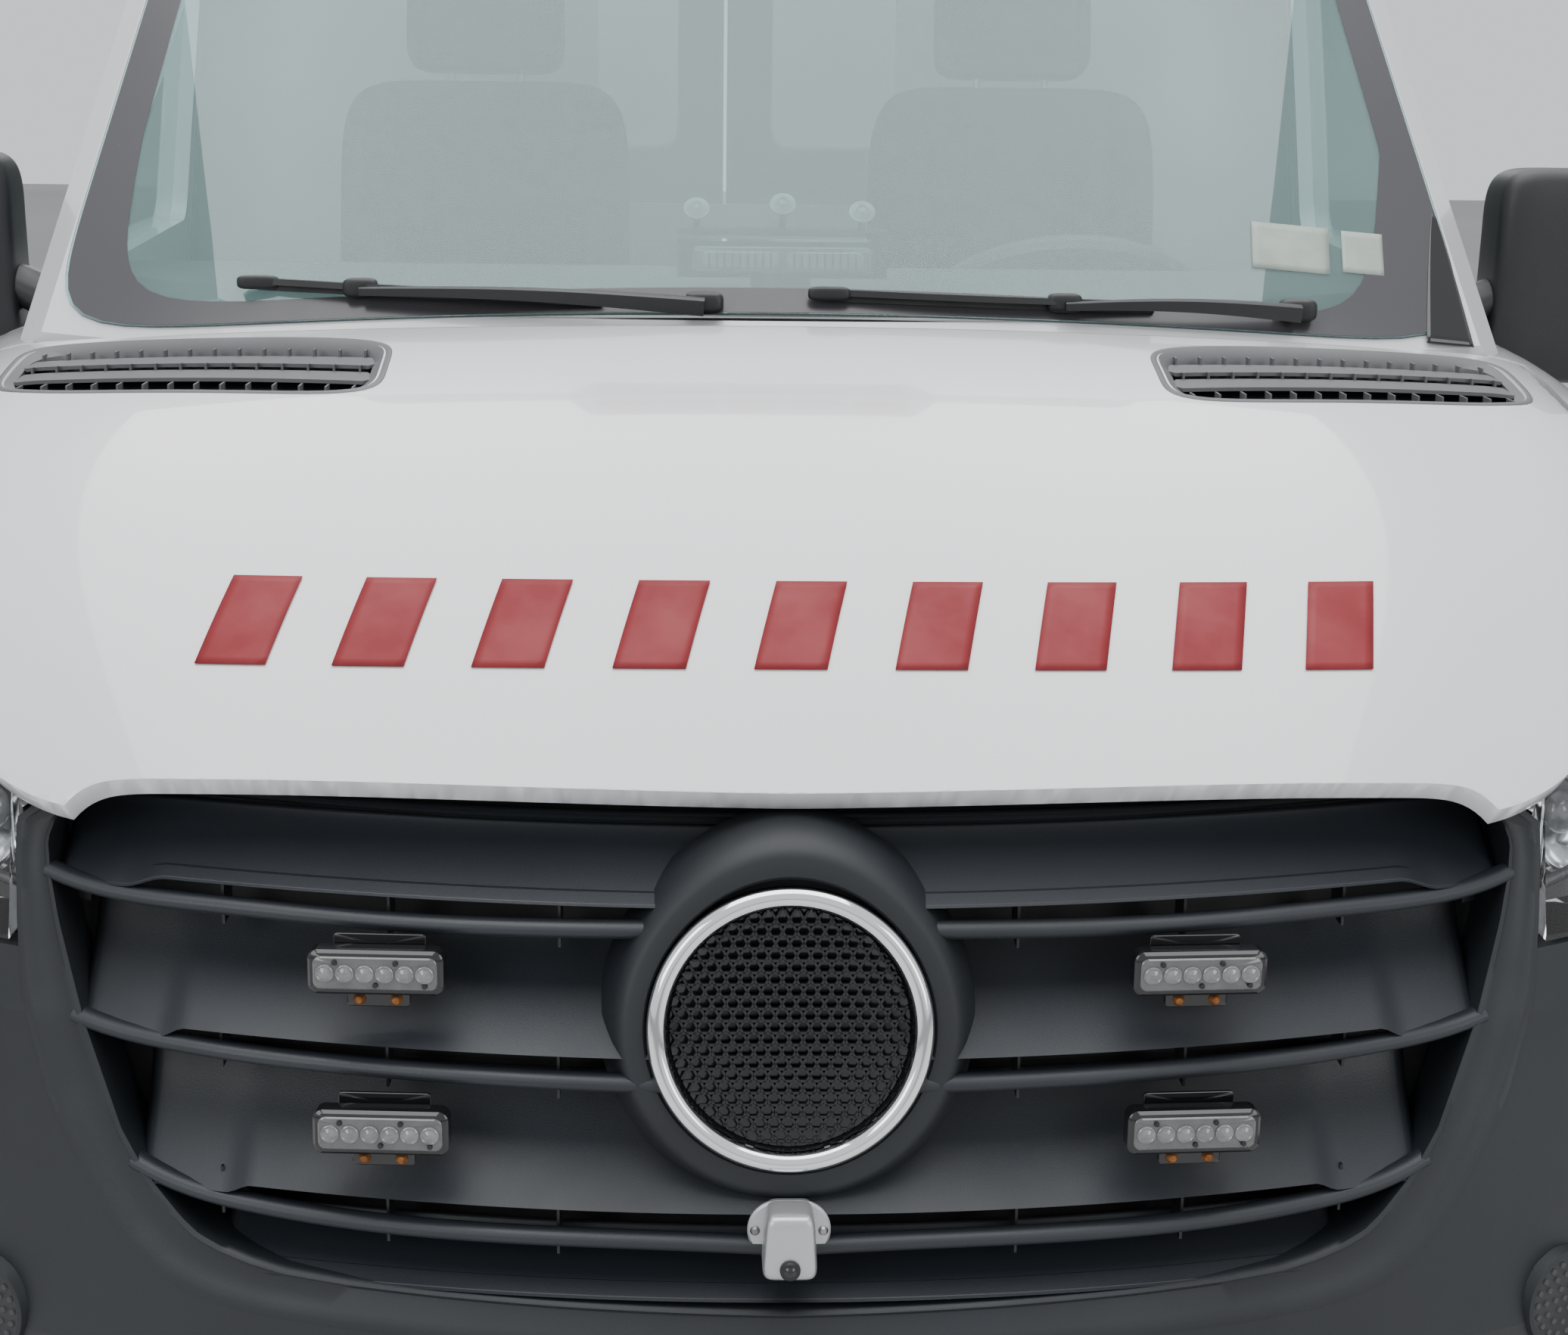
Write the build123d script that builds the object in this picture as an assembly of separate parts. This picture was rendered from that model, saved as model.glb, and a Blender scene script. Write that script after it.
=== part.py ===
from build123d import *
from functools import cache, partial
import math
import os

# A high-roof panel van fitted out as an ambulance.
# Millimetres, +Z up, nose towards -Y, +X on the driver's side.
# The origin is on the ground, midway between the front and the rear bumper and between the two mirrors.
# A "station" s is a distance behind the foremost point of the bumper.

# Driving dimensions of the whole vehicle
LENGTH = 5932.0
WHEELBASE = 3665.0
FRONT_OVERHANG = 1004.0
ROOF_Z = 2730.0
RAIL_Z = 2250.0
BELT_Z = 1345.0
SKIRT_Z = 380.0
DOOR_Z = 437.0
WALL = 50.0
PANEL = 32.0
GAP = 7.0
SEAT_GAP = 0.3

# Wheels and steering
TYRE_R = 387.0
TYRE_W = 236.0
RIM_R = 222.0
TRACK_FRONT = 1734.0
TRACK_REAR = 1716.0
ARCH_R = 450.0
BALL_X = 790.0
BALL_Z = 240.0
STRUT_X = 620.0
STRUT_Z = 905.0
HUB_R = 34.0
HUB_CLEARANCE = 0.5

# Body stations
HINGE_S = 1255.0
B_PILLAR_S = 2340.0
FOOT_S = HINGE_S - 70
CAB_END_S = 2400.0
REAR_FRAME_S = 5800.0
REAR_FACE_S = 5870.0
SLIDE_END_S = 3700.0
FRONT_AXLE_S = FRONT_OVERHANG
REAR_AXLE_S = FRONT_OVERHANG + WHEELBASE
FLOOR_Z = 700.0
FLOOR_T = 60.0
# columns: half widths and stations of the raised sheet between the cupboards
LOAD_SHEET = (-640.0, 460.0, 2450.0, 5780.0)
LOAD_SHEET_T = 4.0

# Nose in plan: a bow across the front, a tight turn at each corner, then the side
BOW_HALF = 650.0
BOW_DEPTH = 115.0
TURN_IN = 30.0
TURN_LENGTH = 515.0
SIDE_S = 1100.0
# columns: height, foremost station, half width at the side
NOSE_ROWS = [
    (330.0, 45.0, 985.0),
    (560.0, 0.0, 1000.0),
    (850.0, 42.0, 1010.0),
    (1450.0, 215.0, 990.0),
]
# columns: station, height on the centre line, half width of the crown, its height there, height of the
# shoulder's foot
TOP_ROWS = [
    (-60.0, 887.0, 650.0, 805.0, 640.0),
    (110.0, 1066.0, 680.0, 978.0, 800.0),
    (430.0, 1278.0, 760.0, 1205.0, 930.0),
    (850.0, 1404.0, 800.0, 1352.0, 1030.0),
    (1150.0, 1415.0, 855.0, 1366.0, 1085.0),
    (1600.0, 1416.0, 905.0, 1362.0, 1130.0),
    (2450.0, 1415.0, 968.0, 1352.0, 1240.0),
]
TOP_EDGE_X = 1100.0
# Greenhouse in plan. columns: height, station of the glass on the centre line, its half width, bow,
# pillar's half width, pillar's station, half width at the end of the cab
GREENHOUSE_ROWS = [
    (1250.0, 764.0, 866.0, 137.0, 900.0, 958.0, 992.0),
    (RAIL_Z, 1595.0, 672.0, 88.0, 706.0, 1740.0, 912.0),
]
# High roof. columns: station, half width at the rail, half width at the shoulder, shoulder's foot,
# crown's half width, crown's height there, height on the centre line
ROOF_ROWS = [
    (1600.0, 672.0, 668.0, 2262.0, 600.0, 2275.0, 2290.0),
    (1900.0, 818.0, 812.0, 2330.0, 650.0, 2430.0, 2480.0),
    (2200.0, 884.0, 872.0, 2400.0, 700.0, 2570.0, 2635.0),
    (2500.0, 908.0, 892.0, 2460.0, 710.0, 2650.0, 2712.0),
    (2800.0, 910.0, 892.0, 2470.0, 710.0, 2662.0, ROOF_Z),
    (REAR_FACE_S, 910.0, 892.0, 2470.0, 710.0, 2662.0, ROOF_Z),
]

# Ways to stand a round piece on a plane: on its foot or under its head
LOW = (Align.CENTER, Align.CENTER, Align.MIN)
HIGH = (Align.CENTER, Align.CENTER, Align.MAX)

# Hood seen from above
HOOD_FRONT_S = 112.0
HOOD_TIP_X = 637.0
HOOD_TIP_S = 176.0
HOOD_LAMP_X = 800.0
HOOD_LAMP_S = 330.0
HOOD_SIDE_X = 891.0
HOOD_SIDE_S = 520.0
HOOD_CORNER_S = 1000.0
HOOD_REAR_S = 835.0
# columns: half width and station round the air vent in the hood
VENT = [(432, 648), (806, 750), (848, 805), (848, 948), (815, 944), (440, 826), (412, 795), (412, 680)]
VENT_T = 20.0
# columns: share of the way from the vent's front edge to its rear edge, where a slot begins and ends
VENT_SLOTS = [(0.08, 0.24), (0.36, 0.52), (0.64, 0.80)]

# Nose: bumper, grille and headlamps
BUMPER_Z = 270.0
BUMPER_TOP_Z = 905.0
LAMP_X = 700.0
LAMP_DEPTH = 120.0
# columns: half width and height along the grille's surround, from its top down to the centre line
GRILLE_OUTER = [(560, 1062), (684, 1034), (674, 852), (590, 676), (530, 618), (0, 606)]
GRILLE_INNER = [(570, 1022), (664, 996), (633, 868), (577, 733), (520, 654), (0, 634)]
GRILLE_R = 45.0
# A louvre is a broad slat over a thin rounded bar, and both rise to their ends.
# columns: height of the bar on the centre line, its rise at the end, half length, height of the slat's top
LOUVRES = [(954.0, 13.0, 664.0, 1046.0), (827.0, 18.0, 628.0, 938.0), (687.0, 28.0, 564.0, 812.0)]
BAR_R = 7.0
BAR_IN = 18.0
# columns: corners of the bar's section, as shares of its radius
BAR_SECTION = [(-1, -0.4), (-1, 0.4), (-0.4, 1), (0.6, 1), (1, 0.6), (1, -0.6), (0.6, -1), (-0.4, -1)]
BAR_GAP = 24.0
SLAT_T = 14.0
# Share of the half length beyond which a slat's foot is closed down to its bar
FOOT_END = 0.88
# columns: how far a slat's face lies behind the nose at its top, its middle and its foot
SLAT_IN = (58.0, 28.0, 16.0)
CAMERA_Z = 706.0
BOSS_R = 142.0
BADGE_Z = 878.0
BADGE_R = 124.0
BADGE_LEAN = 9.0
BADGE_T = 28.0
BADGE_RIM = 17.0
BADGE_DISH = 14.0
# columns: half width and height of the flashing lamps' centres
GRILLE_LAMPS = [(355.0, 922.0), (350.0, 788.0)]
GRILLE_LAMP_W = 117.0
GRILLE_LAMP_H = 40.0
GRILLE_LAMP_STEM = 54.0
RIB_X = [200.0, 350.0, 500.0]

# Doors, windows and glass
DOOR_TOP_Z = 2222.0
DOOR_ARCH_R = 482.0
DOOR_LEAN = 6.0
DOOR_STEP = 14.0
DOOR_SKIN = 14.0
DOOR_PIN_X = 1010.0
DOOR_PIN_S = 1268.0
# Reach of a door's front upper corner round its pin
DOOR_SWING_R = 212.0
COWL_X = 836.0
COWL_REAR_S = 1090.0
WIPER_Z = 1418.0
WIPER_R = 7.0
# columns: half width of a blade's two ends
WIPER_ENDS = [(-610.0, -95.0), (60.0, 610.0)]
PILLAR_FOOT_S = 1178.0
PILLAR_FOOT_Z = 1405.0
PILLAR_SLOPE = 0.782
DOOR_WINDOW_Z = 1425.0
DOOR_WINDOW_TOP_Z = 2150.0
MIRROR_X = 1172.5
SCREEN_Z = 1390.0
SCREEN_FOOT_X = 812.0
SCREEN_TOP_X = 664.0
SCREEN_TOP_Z = 2190.0
GLASS_IN = 4.0
GLASS_T = 6.0
# columns: height, half width of the body behind the cab
BODY_SIDE = [(330, 985), (560, 1000), (850, 1010), (1330, 994), (1350, 984), (2250, 912)]
LOAD_WINDOW = (2560.0, 3540.0, 1430.0, 2000.0)
DOOR_LEAF_X = (953.0, 963.0)
DOOR_LEAF_Z = (900.0, 1180.0)
REAR_LEAF_Z = (760.0, 1360.0, 2150.0)
REAR_DOOR_X = 880.0
REAR_DOOR_Z = 560.0
REAR_DOOR_TOP_Z = 2350.0

# Underneath
RADIATOR_S = 285.0
RAIL_X0 = 380.0
RAIL_X1 = 450.0
CHASSIS_Z = 500.0
CROSS_S = [360.0, 1560.0, 2500.0, 3600.0, 4150.0, 5250.0, 5650.0]
ANCHOR_X = (-250.0, 250.0)
ANCHOR_S = (3100.0, 4700.0)
ANCHOR_R = 5.5
WELL_R = 480.0
WELL_T = 16.0
WELL_X = 505.0
STRUT_R = 28.0
STRUT_ROD_R = 12.0
SPRING_R = 52.0
AXLE_R = 45.0
SHAFT_R = 38.0
LEAF_X = 555.0
LEAF_W = 70.0
LEAF_HALF = 640.0
DISC_R = 150.0

# Inside and on top
STEER_R = 195.0
STEER_TILT = 38.0
COLUMN = 170.0
SEAT_X = 420.0
STEER_CENTRE = (SEAT_X, 1545.0 - LENGTH / 2, 1335.0)
STEER_AXIS = (0, math.sin(math.radians(STEER_TILT)), math.cos(math.radians(STEER_TILT)))
HOUSING_S = 1600.0
SIDE_LAMP_S = [2650.0, 4400.0, 5600.0]


def at(x, s, z):
    """A point from its half width, station and height."""
    return (x, s - LENGTH / 2, z)


def slab(x0, x1, s0, s1, z0, z1):
    """A block between two half widths, two stations and two heights."""
    block = Box(x1 - x0, s1 - s0, z1 - z0, align=(Align.MIN, Align.MIN, Align.MIN))
    return Pos(*at(x0, s0, z0)) * block


def both(shape):
    """The shape and its mirror image on the other side."""
    return Compound([shape, mirror(shape, about=Plane.YZ)])


def rod(a, b, r):
    """A round bar from point a to point b."""
    axis = Vector(*b) - Vector(*a)
    return Plane(origin=a, z_dir=axis) * Cylinder(r, axis.length, align=LOW)


def side_prism(points, x0, x1, r=None):
    """An outline of (station, height) points carried across the body."""
    corners = [at(x0, s, z) for s, z in points]
    outline = FilletPolyline(*corners, radius=r, close=True) if r else Polyline(*corners, close=True)
    return extrude(make_face(outline), amount=x1 - x0, dir=(1, 0, 0))


def front_prism(points, s0, s1, r=None):
    """An outline of (half width, height) points carried along the body."""
    corners = [at(x, s0, z) for x, z in points]
    outline = FilletPolyline(*corners, radius=r, close=True) if r else Polyline(*corners, close=True)
    return extrude(make_face(outline), amount=s1 - s0, dir=(0, 1, 0))


def plan_prism(points, z0, z1, r=None):
    """An outline of (half width, station) points carried upwards."""
    corners = [at(x, s, z0) for x, s in points]
    outline = FilletPolyline(*corners, radius=r, close=True) if r else Polyline(*corners, close=True)
    return extrude(make_face(outline), amount=z1 - z0, dir=(0, 0, 1))


def mirrored_outline(half):
    """A closed outline from its right half, given from the centre line outwards and back to it."""
    return half + [(-x, v) for x, v in reversed(half) if abs(x) > 1e-6]


def nose_section(row, inset, s_end):
    """Plan outline of the lower body at one height."""
    z, s_mid, x_side = row
    s_mid += inset
    x_side -= inset
    bow_edge = s_mid + BOW_DEPTH
    turn_s = s_mid + TURN_LENGTH
    bow_r = (BOW_HALF**2 + BOW_DEPTH**2) / (2 * BOW_DEPTH)
    slope = math.asin(BOW_HALF / bow_r)
    bow = Edge.make_three_point_arc(at(-BOW_HALF, bow_edge, z), at(0, s_mid, z), at(BOW_HALF, bow_edge, z))
    tangent = (math.cos(slope), math.sin(slope), 0)
    turn = Edge.make_tangent_arc(at(BOW_HALF, bow_edge, z), tangent, at(x_side - TURN_IN, turn_s, z))
    side = Edge.make_line(at(x_side - TURN_IN, turn_s, z), at(x_side, SIDE_S, z))
    back = Edge.make_line(at(x_side, SIDE_S, z), at(x_side, s_end, z))
    end = Edge.make_line(at(x_side, s_end, z), at(-x_side, s_end, z))
    return Wire([bow, turn, side, back, end, *(e.mirror(Plane.YZ) for e in (back, side, turn))])


def top_section(row, inset, bottom):
    """Cross-section below the hood and the shoulders at one station."""
    s, z_mid, x_crown, z_crown, z_foot = row
    z_mid -= inset
    z_crown -= inset
    x_crown -= inset / 2
    z_foot -= inset
    crown_r = (x_crown**2 + (z_mid - z_crown) ** 2) / (2 * (z_mid - z_crown))
    slope = math.asin(x_crown / crown_r)
    crown = Edge.make_three_point_arc(at(-x_crown, s, z_crown), at(0, s, z_mid), at(x_crown, s, z_crown))
    tangent = (math.cos(slope), 0, -math.sin(slope))
    shoulder = Edge.make_tangent_arc(at(x_crown, s, z_crown), tangent, at(TOP_EDGE_X - inset, s, z_foot))
    down = Edge.make_line(at(TOP_EDGE_X - inset, s, z_foot), at(TOP_EDGE_X - inset, s, bottom))
    under = Edge.make_line(at(TOP_EDGE_X - inset, s, bottom), at(inset - TOP_EDGE_X, s, bottom))
    return Wire([crown, shoulder, down, under, down.mirror(Plane.YZ), shoulder.mirror(Plane.YZ)])


@cache
def nose_plan(inset):
    """The lower body's plan form from the nose to the end of the cab, as tall as it gets."""
    return Solid.make_loft([nose_section(r, inset, CAB_END_S) for r in NOSE_ROWS], True)


@cache
def top_cover(inset):
    """Everything below the hood's, the cowl's and the shoulders' surface."""
    return Solid.make_loft([top_section(r, inset, 300) for r in TOP_ROWS], False)


@cache
def lower_body(inset):
    """Everything below the hood, the cowl and the window line, from the nose to the end of the cab."""
    return nose_plan(inset) & top_cover(inset)


def greenhouse_section(row, inset):
    """Plan outline of the windscreen, its pillars and the side windows at one height."""
    z, s_mid, x_glass, bow, x_pillar, s_pillar, x_end = row
    edge = at(x_glass - inset, s_mid + bow + inset, z)
    glass = Edge.make_three_point_arc((-edge[0], *edge[1:]), at(0, s_mid + inset, z), edge)
    pillar = Edge.make_line(edge, at(x_pillar - inset, s_pillar, z))
    side = Edge.make_line(at(x_pillar - inset, s_pillar, z), at(x_end - inset, CAB_END_S, z))
    end = Edge.make_line(at(x_end - inset, CAB_END_S, z), at(inset - x_end, CAB_END_S, z))
    return Wire([glass, pillar, side, end, side.mirror(Plane.YZ), pillar.mirror(Plane.YZ)])


@cache
def greenhouse(inset):
    """The cab's upper body between its waist and the roof rail."""
    return Solid.make_loft([greenhouse_section(r, inset) for r in GREENHOUSE_ROWS], True)


def roof_section(row, inset, z_base):
    """Cross-section of the high roof at one station."""
    s, x_rail, x_foot, z_foot, x_crown, z_crown, z_mid = row
    x_rail, x_foot, x_crown = x_rail - inset, x_foot - inset, x_crown - inset / 2
    z_crown, z_mid = max(z_crown - inset, z_base + 8), max(z_mid - inset, z_base + 16)
    z_foot = min(z_foot, z_base + (z_crown - z_base) / 2) if inset else z_foot
    crown_h = z_mid - z_crown
    crown_r = (x_crown**2 + crown_h**2) / (2 * crown_h)
    slope = math.asin(x_crown / crown_r)
    crown = Edge.make_three_point_arc(at(-x_crown, s, z_crown), at(0, s, z_mid), at(x_crown, s, z_crown))
    tangent = (math.cos(slope), 0, -math.sin(slope))
    shoulder = Edge.make_tangent_arc(at(x_crown, s, z_crown), tangent, at(x_foot, s, z_foot))
    side = Edge.make_line(at(x_foot, s, z_foot), at(x_rail, s, z_base))
    base = Edge.make_line(at(x_rail, s, z_base), at(-x_rail, s, z_base))
    return Wire([crown, shoulder, side, base, side.mirror(Plane.YZ), shoulder.mirror(Plane.YZ)])


def roof_body(inset):
    """The high roof, swelling from the windscreen's header to its full height behind the seats."""
    front = Solid.make_loft([roof_section(r, inset, RAIL_Z) for r in ROOF_ROWS[:-1]], False)
    rear = Solid.make_loft([roof_section(r, inset, RAIL_Z) for r in ROOF_ROWS[-2:]], True)
    return front + rear


@cache
def roof_form(inset):
    """The high roof trimmed to the windscreen's top edge."""
    plan = extrude(Face(greenhouse_section(GREENHOUSE_ROWS[1], inset)), amount=600, dir=(0, 0, 1))
    behind = slab(-1100, 1100, CAB_END_S - 1, REAR_FACE_S, RAIL_Z, 2900)
    return roof_body(inset) & (plan + behind)


@cache
def cab(inset):
    """The cab as one closed form, below and above its waist."""
    return lower_body(inset) + greenhouse(inset)


def kingpin_point(z):
    """The point of the +X steering axis at one height."""
    share = (z - BALL_Z) / (STRUT_Z - BALL_Z)
    return at(BALL_X + share * (STRUT_X - BALL_X), FRONT_AXLE_S, z)


def wheel_drum(radius, s_axle, x0=-1300, x1=1300):
    """A cylinder across the vehicle about one axle."""
    start = Plane(origin=at(x0, s_axle, TYRE_R), z_dir=(1, 0, 0))
    return start * Cylinder(radius, x1 - x0, align=LOW)


def hood_plan(grow, z0, z1):
    """The hood's outline seen from above, grown all round by a gap."""
    tip = at(HOOD_TIP_X + grow, HOOD_TIP_S - grow, z0)
    lamp = at(HOOD_LAMP_X + grow, HOOD_LAMP_S - grow, z0)
    side = at(HOOD_SIDE_X + grow, HOOD_SIDE_S, z0)
    corner = at(HOOD_SIDE_X + 4 + grow, HOOD_CORNER_S + 1.5 * grow, z0)
    bow = Edge.make_three_point_arc(at(-tip[0], HOOD_TIP_S - grow, z0), at(0, HOOD_FRONT_S - grow, z0), tip)
    along_lamp = Edge.make_three_point_arc(tip, lamp, side)
    along_side = Edge.make_line(side, corner)
    back = Edge.make_three_point_arc(
        corner, at(0, HOOD_REAR_S + grow, z0), at(-corner[0], HOOD_CORNER_S + 1.5 * grow, z0)
    )
    flanks = (along_side.mirror(Plane.YZ), along_lamp.mirror(Plane.YZ))
    outline = Wire([bow, along_lamp, along_side, back, *flanks])
    return extrude(Face(outline), amount=z1 - z0, dir=(0, 0, 1))


def door_prism(grow, step, x0, x1):
    """A front door's outline seen from the side, grown by a gap and stepped in at its rear edge."""
    front = HINGE_S + GAP - grow
    rear = B_PILLAR_S + grow - step
    lean = PILLAR_SLOPE * (DOOR_TOP_Z + grow - PILLAR_FOOT_Z)
    outline = [
        (front, DOOR_Z - grow),
        (rear, DOOR_Z - grow),
        (rear, BELT_Z),
        (rear - (0 if grow else DOOR_LEAN), DOOR_TOP_Z + grow),
        (PILLAR_FOOT_S - grow + lean, DOOR_TOP_Z + grow),
        (PILLAR_FOOT_S - grow, PILLAR_FOOT_Z - grow / 2),
        (front, BELT_Z - grow / 2),
    ]
    return side_prism(outline, x0, x1) - wheel_drum(DOOR_ARCH_R - grow, FRONT_AXLE_S)


def door_window(x0, x1):
    """The front door's window seen from the side."""
    foot = PILLAR_FOOT_S + 100
    top = foot + PILLAR_SLOPE * (DOOR_WINDOW_TOP_Z - DOOR_WINDOW_Z)
    rear = B_PILLAR_S - 72
    z0, z1 = DOOR_WINDOW_Z, DOOR_WINDOW_TOP_Z
    return side_prism([(foot, z0), (rear, z0), (rear - 18, z1), (top, z1)], x0, x1, 40)


def load_window(x0, x1):
    """The load space's side window seen from the side."""
    s0, s1, z0, z1 = LOAD_WINDOW
    return side_prism([(s0, z0), (s1, z0), (s1, z1), (s0, z1)], x0, x1, 60)


def rear_window(s0, s1):
    """A rear door's window seen from behind."""
    return front_prism([(130, 1430), (780, 1430), (765, 2020), (130, 2020)], s0, s1, 60)


def screen_prism(s0, s1):
    """The windscreen's outline seen from the front."""
    corners = [(SCREEN_FOOT_X, SCREEN_Z + 12), (SCREEN_TOP_X, SCREEN_TOP_Z)]
    return front_prism(mirrored_outline(corners), s0, s1, 40)


def side_x(z):
    """The body's half width behind the cab at one height."""
    for (z0, x0), (z1, x1) in zip(BODY_SIDE, BODY_SIDE[1:]):
        if z <= z1:
            return x0 + (x1 - x0) * (z - z0) / (z1 - z0)
    return BODY_SIDE[-1][1]


def body_wall(s0, s1, z0, z1, inset=0.0, thick=WALL):
    """A length of the load space's wall on the +X side."""
    rows = [(side_x(z0), z0), *((x, z) for z, x in BODY_SIDE if z0 < z < z1), (side_x(z1), z1)]
    outline = [(x - inset, z) for x, z in rows] + [(x - inset - thick, z) for x, z in reversed(rows)]
    return front_prism(outline, s0, s1)


def flipped(shape):
    """The same piece on the other side."""
    return mirror(shape, about=Plane.YZ)


def vent_prism(z0, z1):
    """An air vent's outline seen from above."""
    return plan_prism(VENT, z0, z1, 14)


def hood():
    """The hood's panel, with a pocket for each vent."""
    panel = nose_plan(0) & (top_cover(0) - top_cover(PANEL)) & hood_plan(0, 880, 1500)
    pocket = vent_prism(1150, 1500) - top_cover(VENT_T)
    return panel - pocket - flipped(pocket)


def hood_vents():
    """The slotted air vents let into the hood."""
    plate = vent_prism(1150, 1500) & (top_cover(2) - top_cover(VENT_T))
    (x0, s0), (x1, s1) = (440, 662), (812, 765)
    for near, far in VENT_SLOTS:
        a, b = (s0 + share * 150 for share in (near, far))
        slot = [(x0, a), (x1, a + s1 - s0), (x1, b + s1 - s0), (x0, b)]
        plate = plate - (plan_prism(slot, 1150, 1500) - top_cover(VENT_T - 6))
    return both(plate)


@cache
def hood_clear():
    """The room that the hood and its gap take."""
    return hood_plan(GAP, 870, 1500) - top_cover(PANEL + GAP)


def nose_skin(inset=0.0, thick=PANEL):
    """The outer wall of the nose ahead of the doors, without the hood."""
    wall = lower_body(inset) - lower_body(inset + thick)
    return wall & slab(-1100, 1100, -50, HINGE_S, 200, 1500)


def bumper_zone(grow):
    """The front bumper's outline seen from the side."""
    back = FRONT_AXLE_S - ARCH_R + 60
    top = BUMPER_TOP_Z + grow
    outline = [(-60, BUMPER_Z), (back, BUMPER_Z), (back, 700 + grow), (430, top), (-60, top)]
    return side_prism(outline, -1100, 1100)


def grille_prism(half, grow):
    """An outline of the grille's surround seen from the front, grown all round by a gap."""
    half = [(x + grow if x else x, z + grow if z > BADGE_Z else z - grow) for x, z in half]
    return front_prism(mirrored_outline(half), -60, 300, GRILLE_R)


def grille_zone(grow):
    """The room of the grille's surround."""
    return grille_prism(GRILLE_OUTER, grow)


def front_bumper():
    """The bumper's moulding, with its lower air inlet."""
    inlet = front_prism([(-520, 400), (520, 400), (500, 540), (-500, 540)], -60, 300, 20)
    shell = nose_skin() & bumper_zone(0)
    return shell - grille_zone(SEAT_GAP) - wheel_drum(ARCH_R, FRONT_AXLE_S) - inlet


def lamp_zone(grow):
    """A headlamp's room: outside the hood, above the bumper and ahead of the fender."""
    low = BUMPER_TOP_Z + 4 - grow
    rear, top = 430 + grow, 570 + grow
    return side_prism([(0, low), (rear, low), (top, 1240), (0, 1240)], LAMP_X - grow, 1100)


def headlamps():
    """A headlamp on each side, clear lens and housing in one form."""
    lamp = nose_skin(2, LAMP_DEPTH) & lamp_zone(0)
    return both(lamp - hood_clear() - grille_zone(4))


def fenders():
    """A fender on each side, over its wheel arch."""
    side = nose_skin() & slab(LAMP_X, 1100, 100, HINGE_S, SKIRT_Z, 1500)
    side = side - hood_clear() - bumper_zone(4) - lamp_zone(SEAT_GAP) - grille_zone(4)
    side = side - wheel_drum(ARCH_R, FRONT_AXLE_S) - greenhouse(-2) - cowl_zone(GAP)
    return both(side - door_prism(GAP, 0, 500, 1200))


def cowl_zone(grow):
    """The room of the plastic cowl between the hood and the windscreen."""
    return slab(-COWL_X - grow, COWL_X + grow, HOOD_REAR_S - 10, COWL_REAR_S + grow, 1300, 1460)


def cowl():
    """The plastic cowl that carries the wipers, with the wipers parked on it."""
    strip = (top_cover(3) - top_cover(24)) & cowl_zone(0)
    return Compound([strip - hood_clear() - greenhouse(-1), *wipers()])


def cab_frame():
    """The cab's pillars, sills, cowl panel and header."""
    shell = (cab(0) - cab(WALL)) & slab(-1100, 1100, HINGE_S, CAB_END_S, SKIRT_Z, RAIL_Z)
    front = (greenhouse(0) - greenhouse(WALL)) & slab(-1100, 1100, 700, HINGE_S, 1300, RAIL_Z)
    post = (lower_body(PANEL + 1) - lower_body(WALL)) & slab(-1100, 1100, FOOT_S, HINGE_S, SKIRT_Z, 1400)
    post = post - wheel_drum(WELL_R + WELL_T, FRONT_AXLE_S) - greenhouse(WALL)
    frame = shell + (front + post - hood_plan(14, 800, 1500))
    frame = frame - screen_prism(600, 1780) - wheel_drum(ARCH_R, FRONT_AXLE_S)
    frame = frame - door_prism(GAP, 0, 300, 1200) - door_prism(GAP, 0, -1200, -300)
    leaves = [slab(*DOOR_LEAF_X, HINGE_S - 2, HINGE_S + GAP - SEAT_GAP, z, z + 90) for z in DOOR_LEAF_Z]
    return frame + leaves + [flipped(leaf) for leaf in leaves]


def windscreen():
    """The bowed windscreen."""
    sheet = greenhouse(GLASS_IN) - greenhouse(GLASS_IN + GLASS_T)
    return sheet & screen_prism(600, 1780)


def greenhouse_wall(grow):
    """The greenhouse's wall, grown by a gap on both faces."""
    return greenhouse(-grow) - greenhouse(WALL + grow)


def well_room(sign):
    """The room that a front wheel's well takes from the bulkhead and the floor."""
    near, far = sorted((sign * (WELL_X - SEAT_GAP), sign * 1100))
    return wheel_drum(WELL_R + WELL_T + SEAT_GAP, FRONT_AXLE_S, near, far)


def bulkhead():
    """The firewall between the engine and the cab, with its shelf under the cowl."""
    outline = [
        (FOOT_S, FLOOR_Z), (FOOT_S + 30, FLOOR_Z), (FOOT_S + 30, 1270), (900, 1270), (900, 1335), (872, 1335),
        (872, 1240), (FOOT_S, 1240),
    ]
    wall = (side_prism(outline, -1100, 1100) & lower_body(WALL + SEAT_GAP)) - greenhouse_wall(SEAT_GAP)
    return wall - well_room(1) - well_room(-1)


def wheelhouses():
    """The drum-shaped wells over the steered wheels, with the struts' towers."""
    drum = wheel_drum(WELL_R + WELL_T, FRONT_AXLE_S, WELL_X, 1100)
    drum = drum - wheel_drum(WELL_R, FRONT_AXLE_S, WELL_X + WELL_T, 1100)
    drum = drum & lower_body(WALL + 6) & slab(400, 1100, 400, 1600, 470, 950)
    low, high = kingpin_point(780), kingpin_point(STRUT_Z + 18)
    tower = rod(low, high, 84) - rod(kingpin_point(700), kingpin_point(STRUT_Z), 72)
    bore = rod(kingpin_point(700), kingpin_point(STRUT_Z + 60), STRUT_ROD_R + HUB_CLEARANCE)
    well = drum - rod(kingpin_point(700), kingpin_point(STRUT_Z), 72)
    return both(well + tower - bore - slab(400, 1100, FOOT_S - 5, 1600, 400, FLOOR_Z - FLOOR_T - SEAT_GAP))


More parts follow.
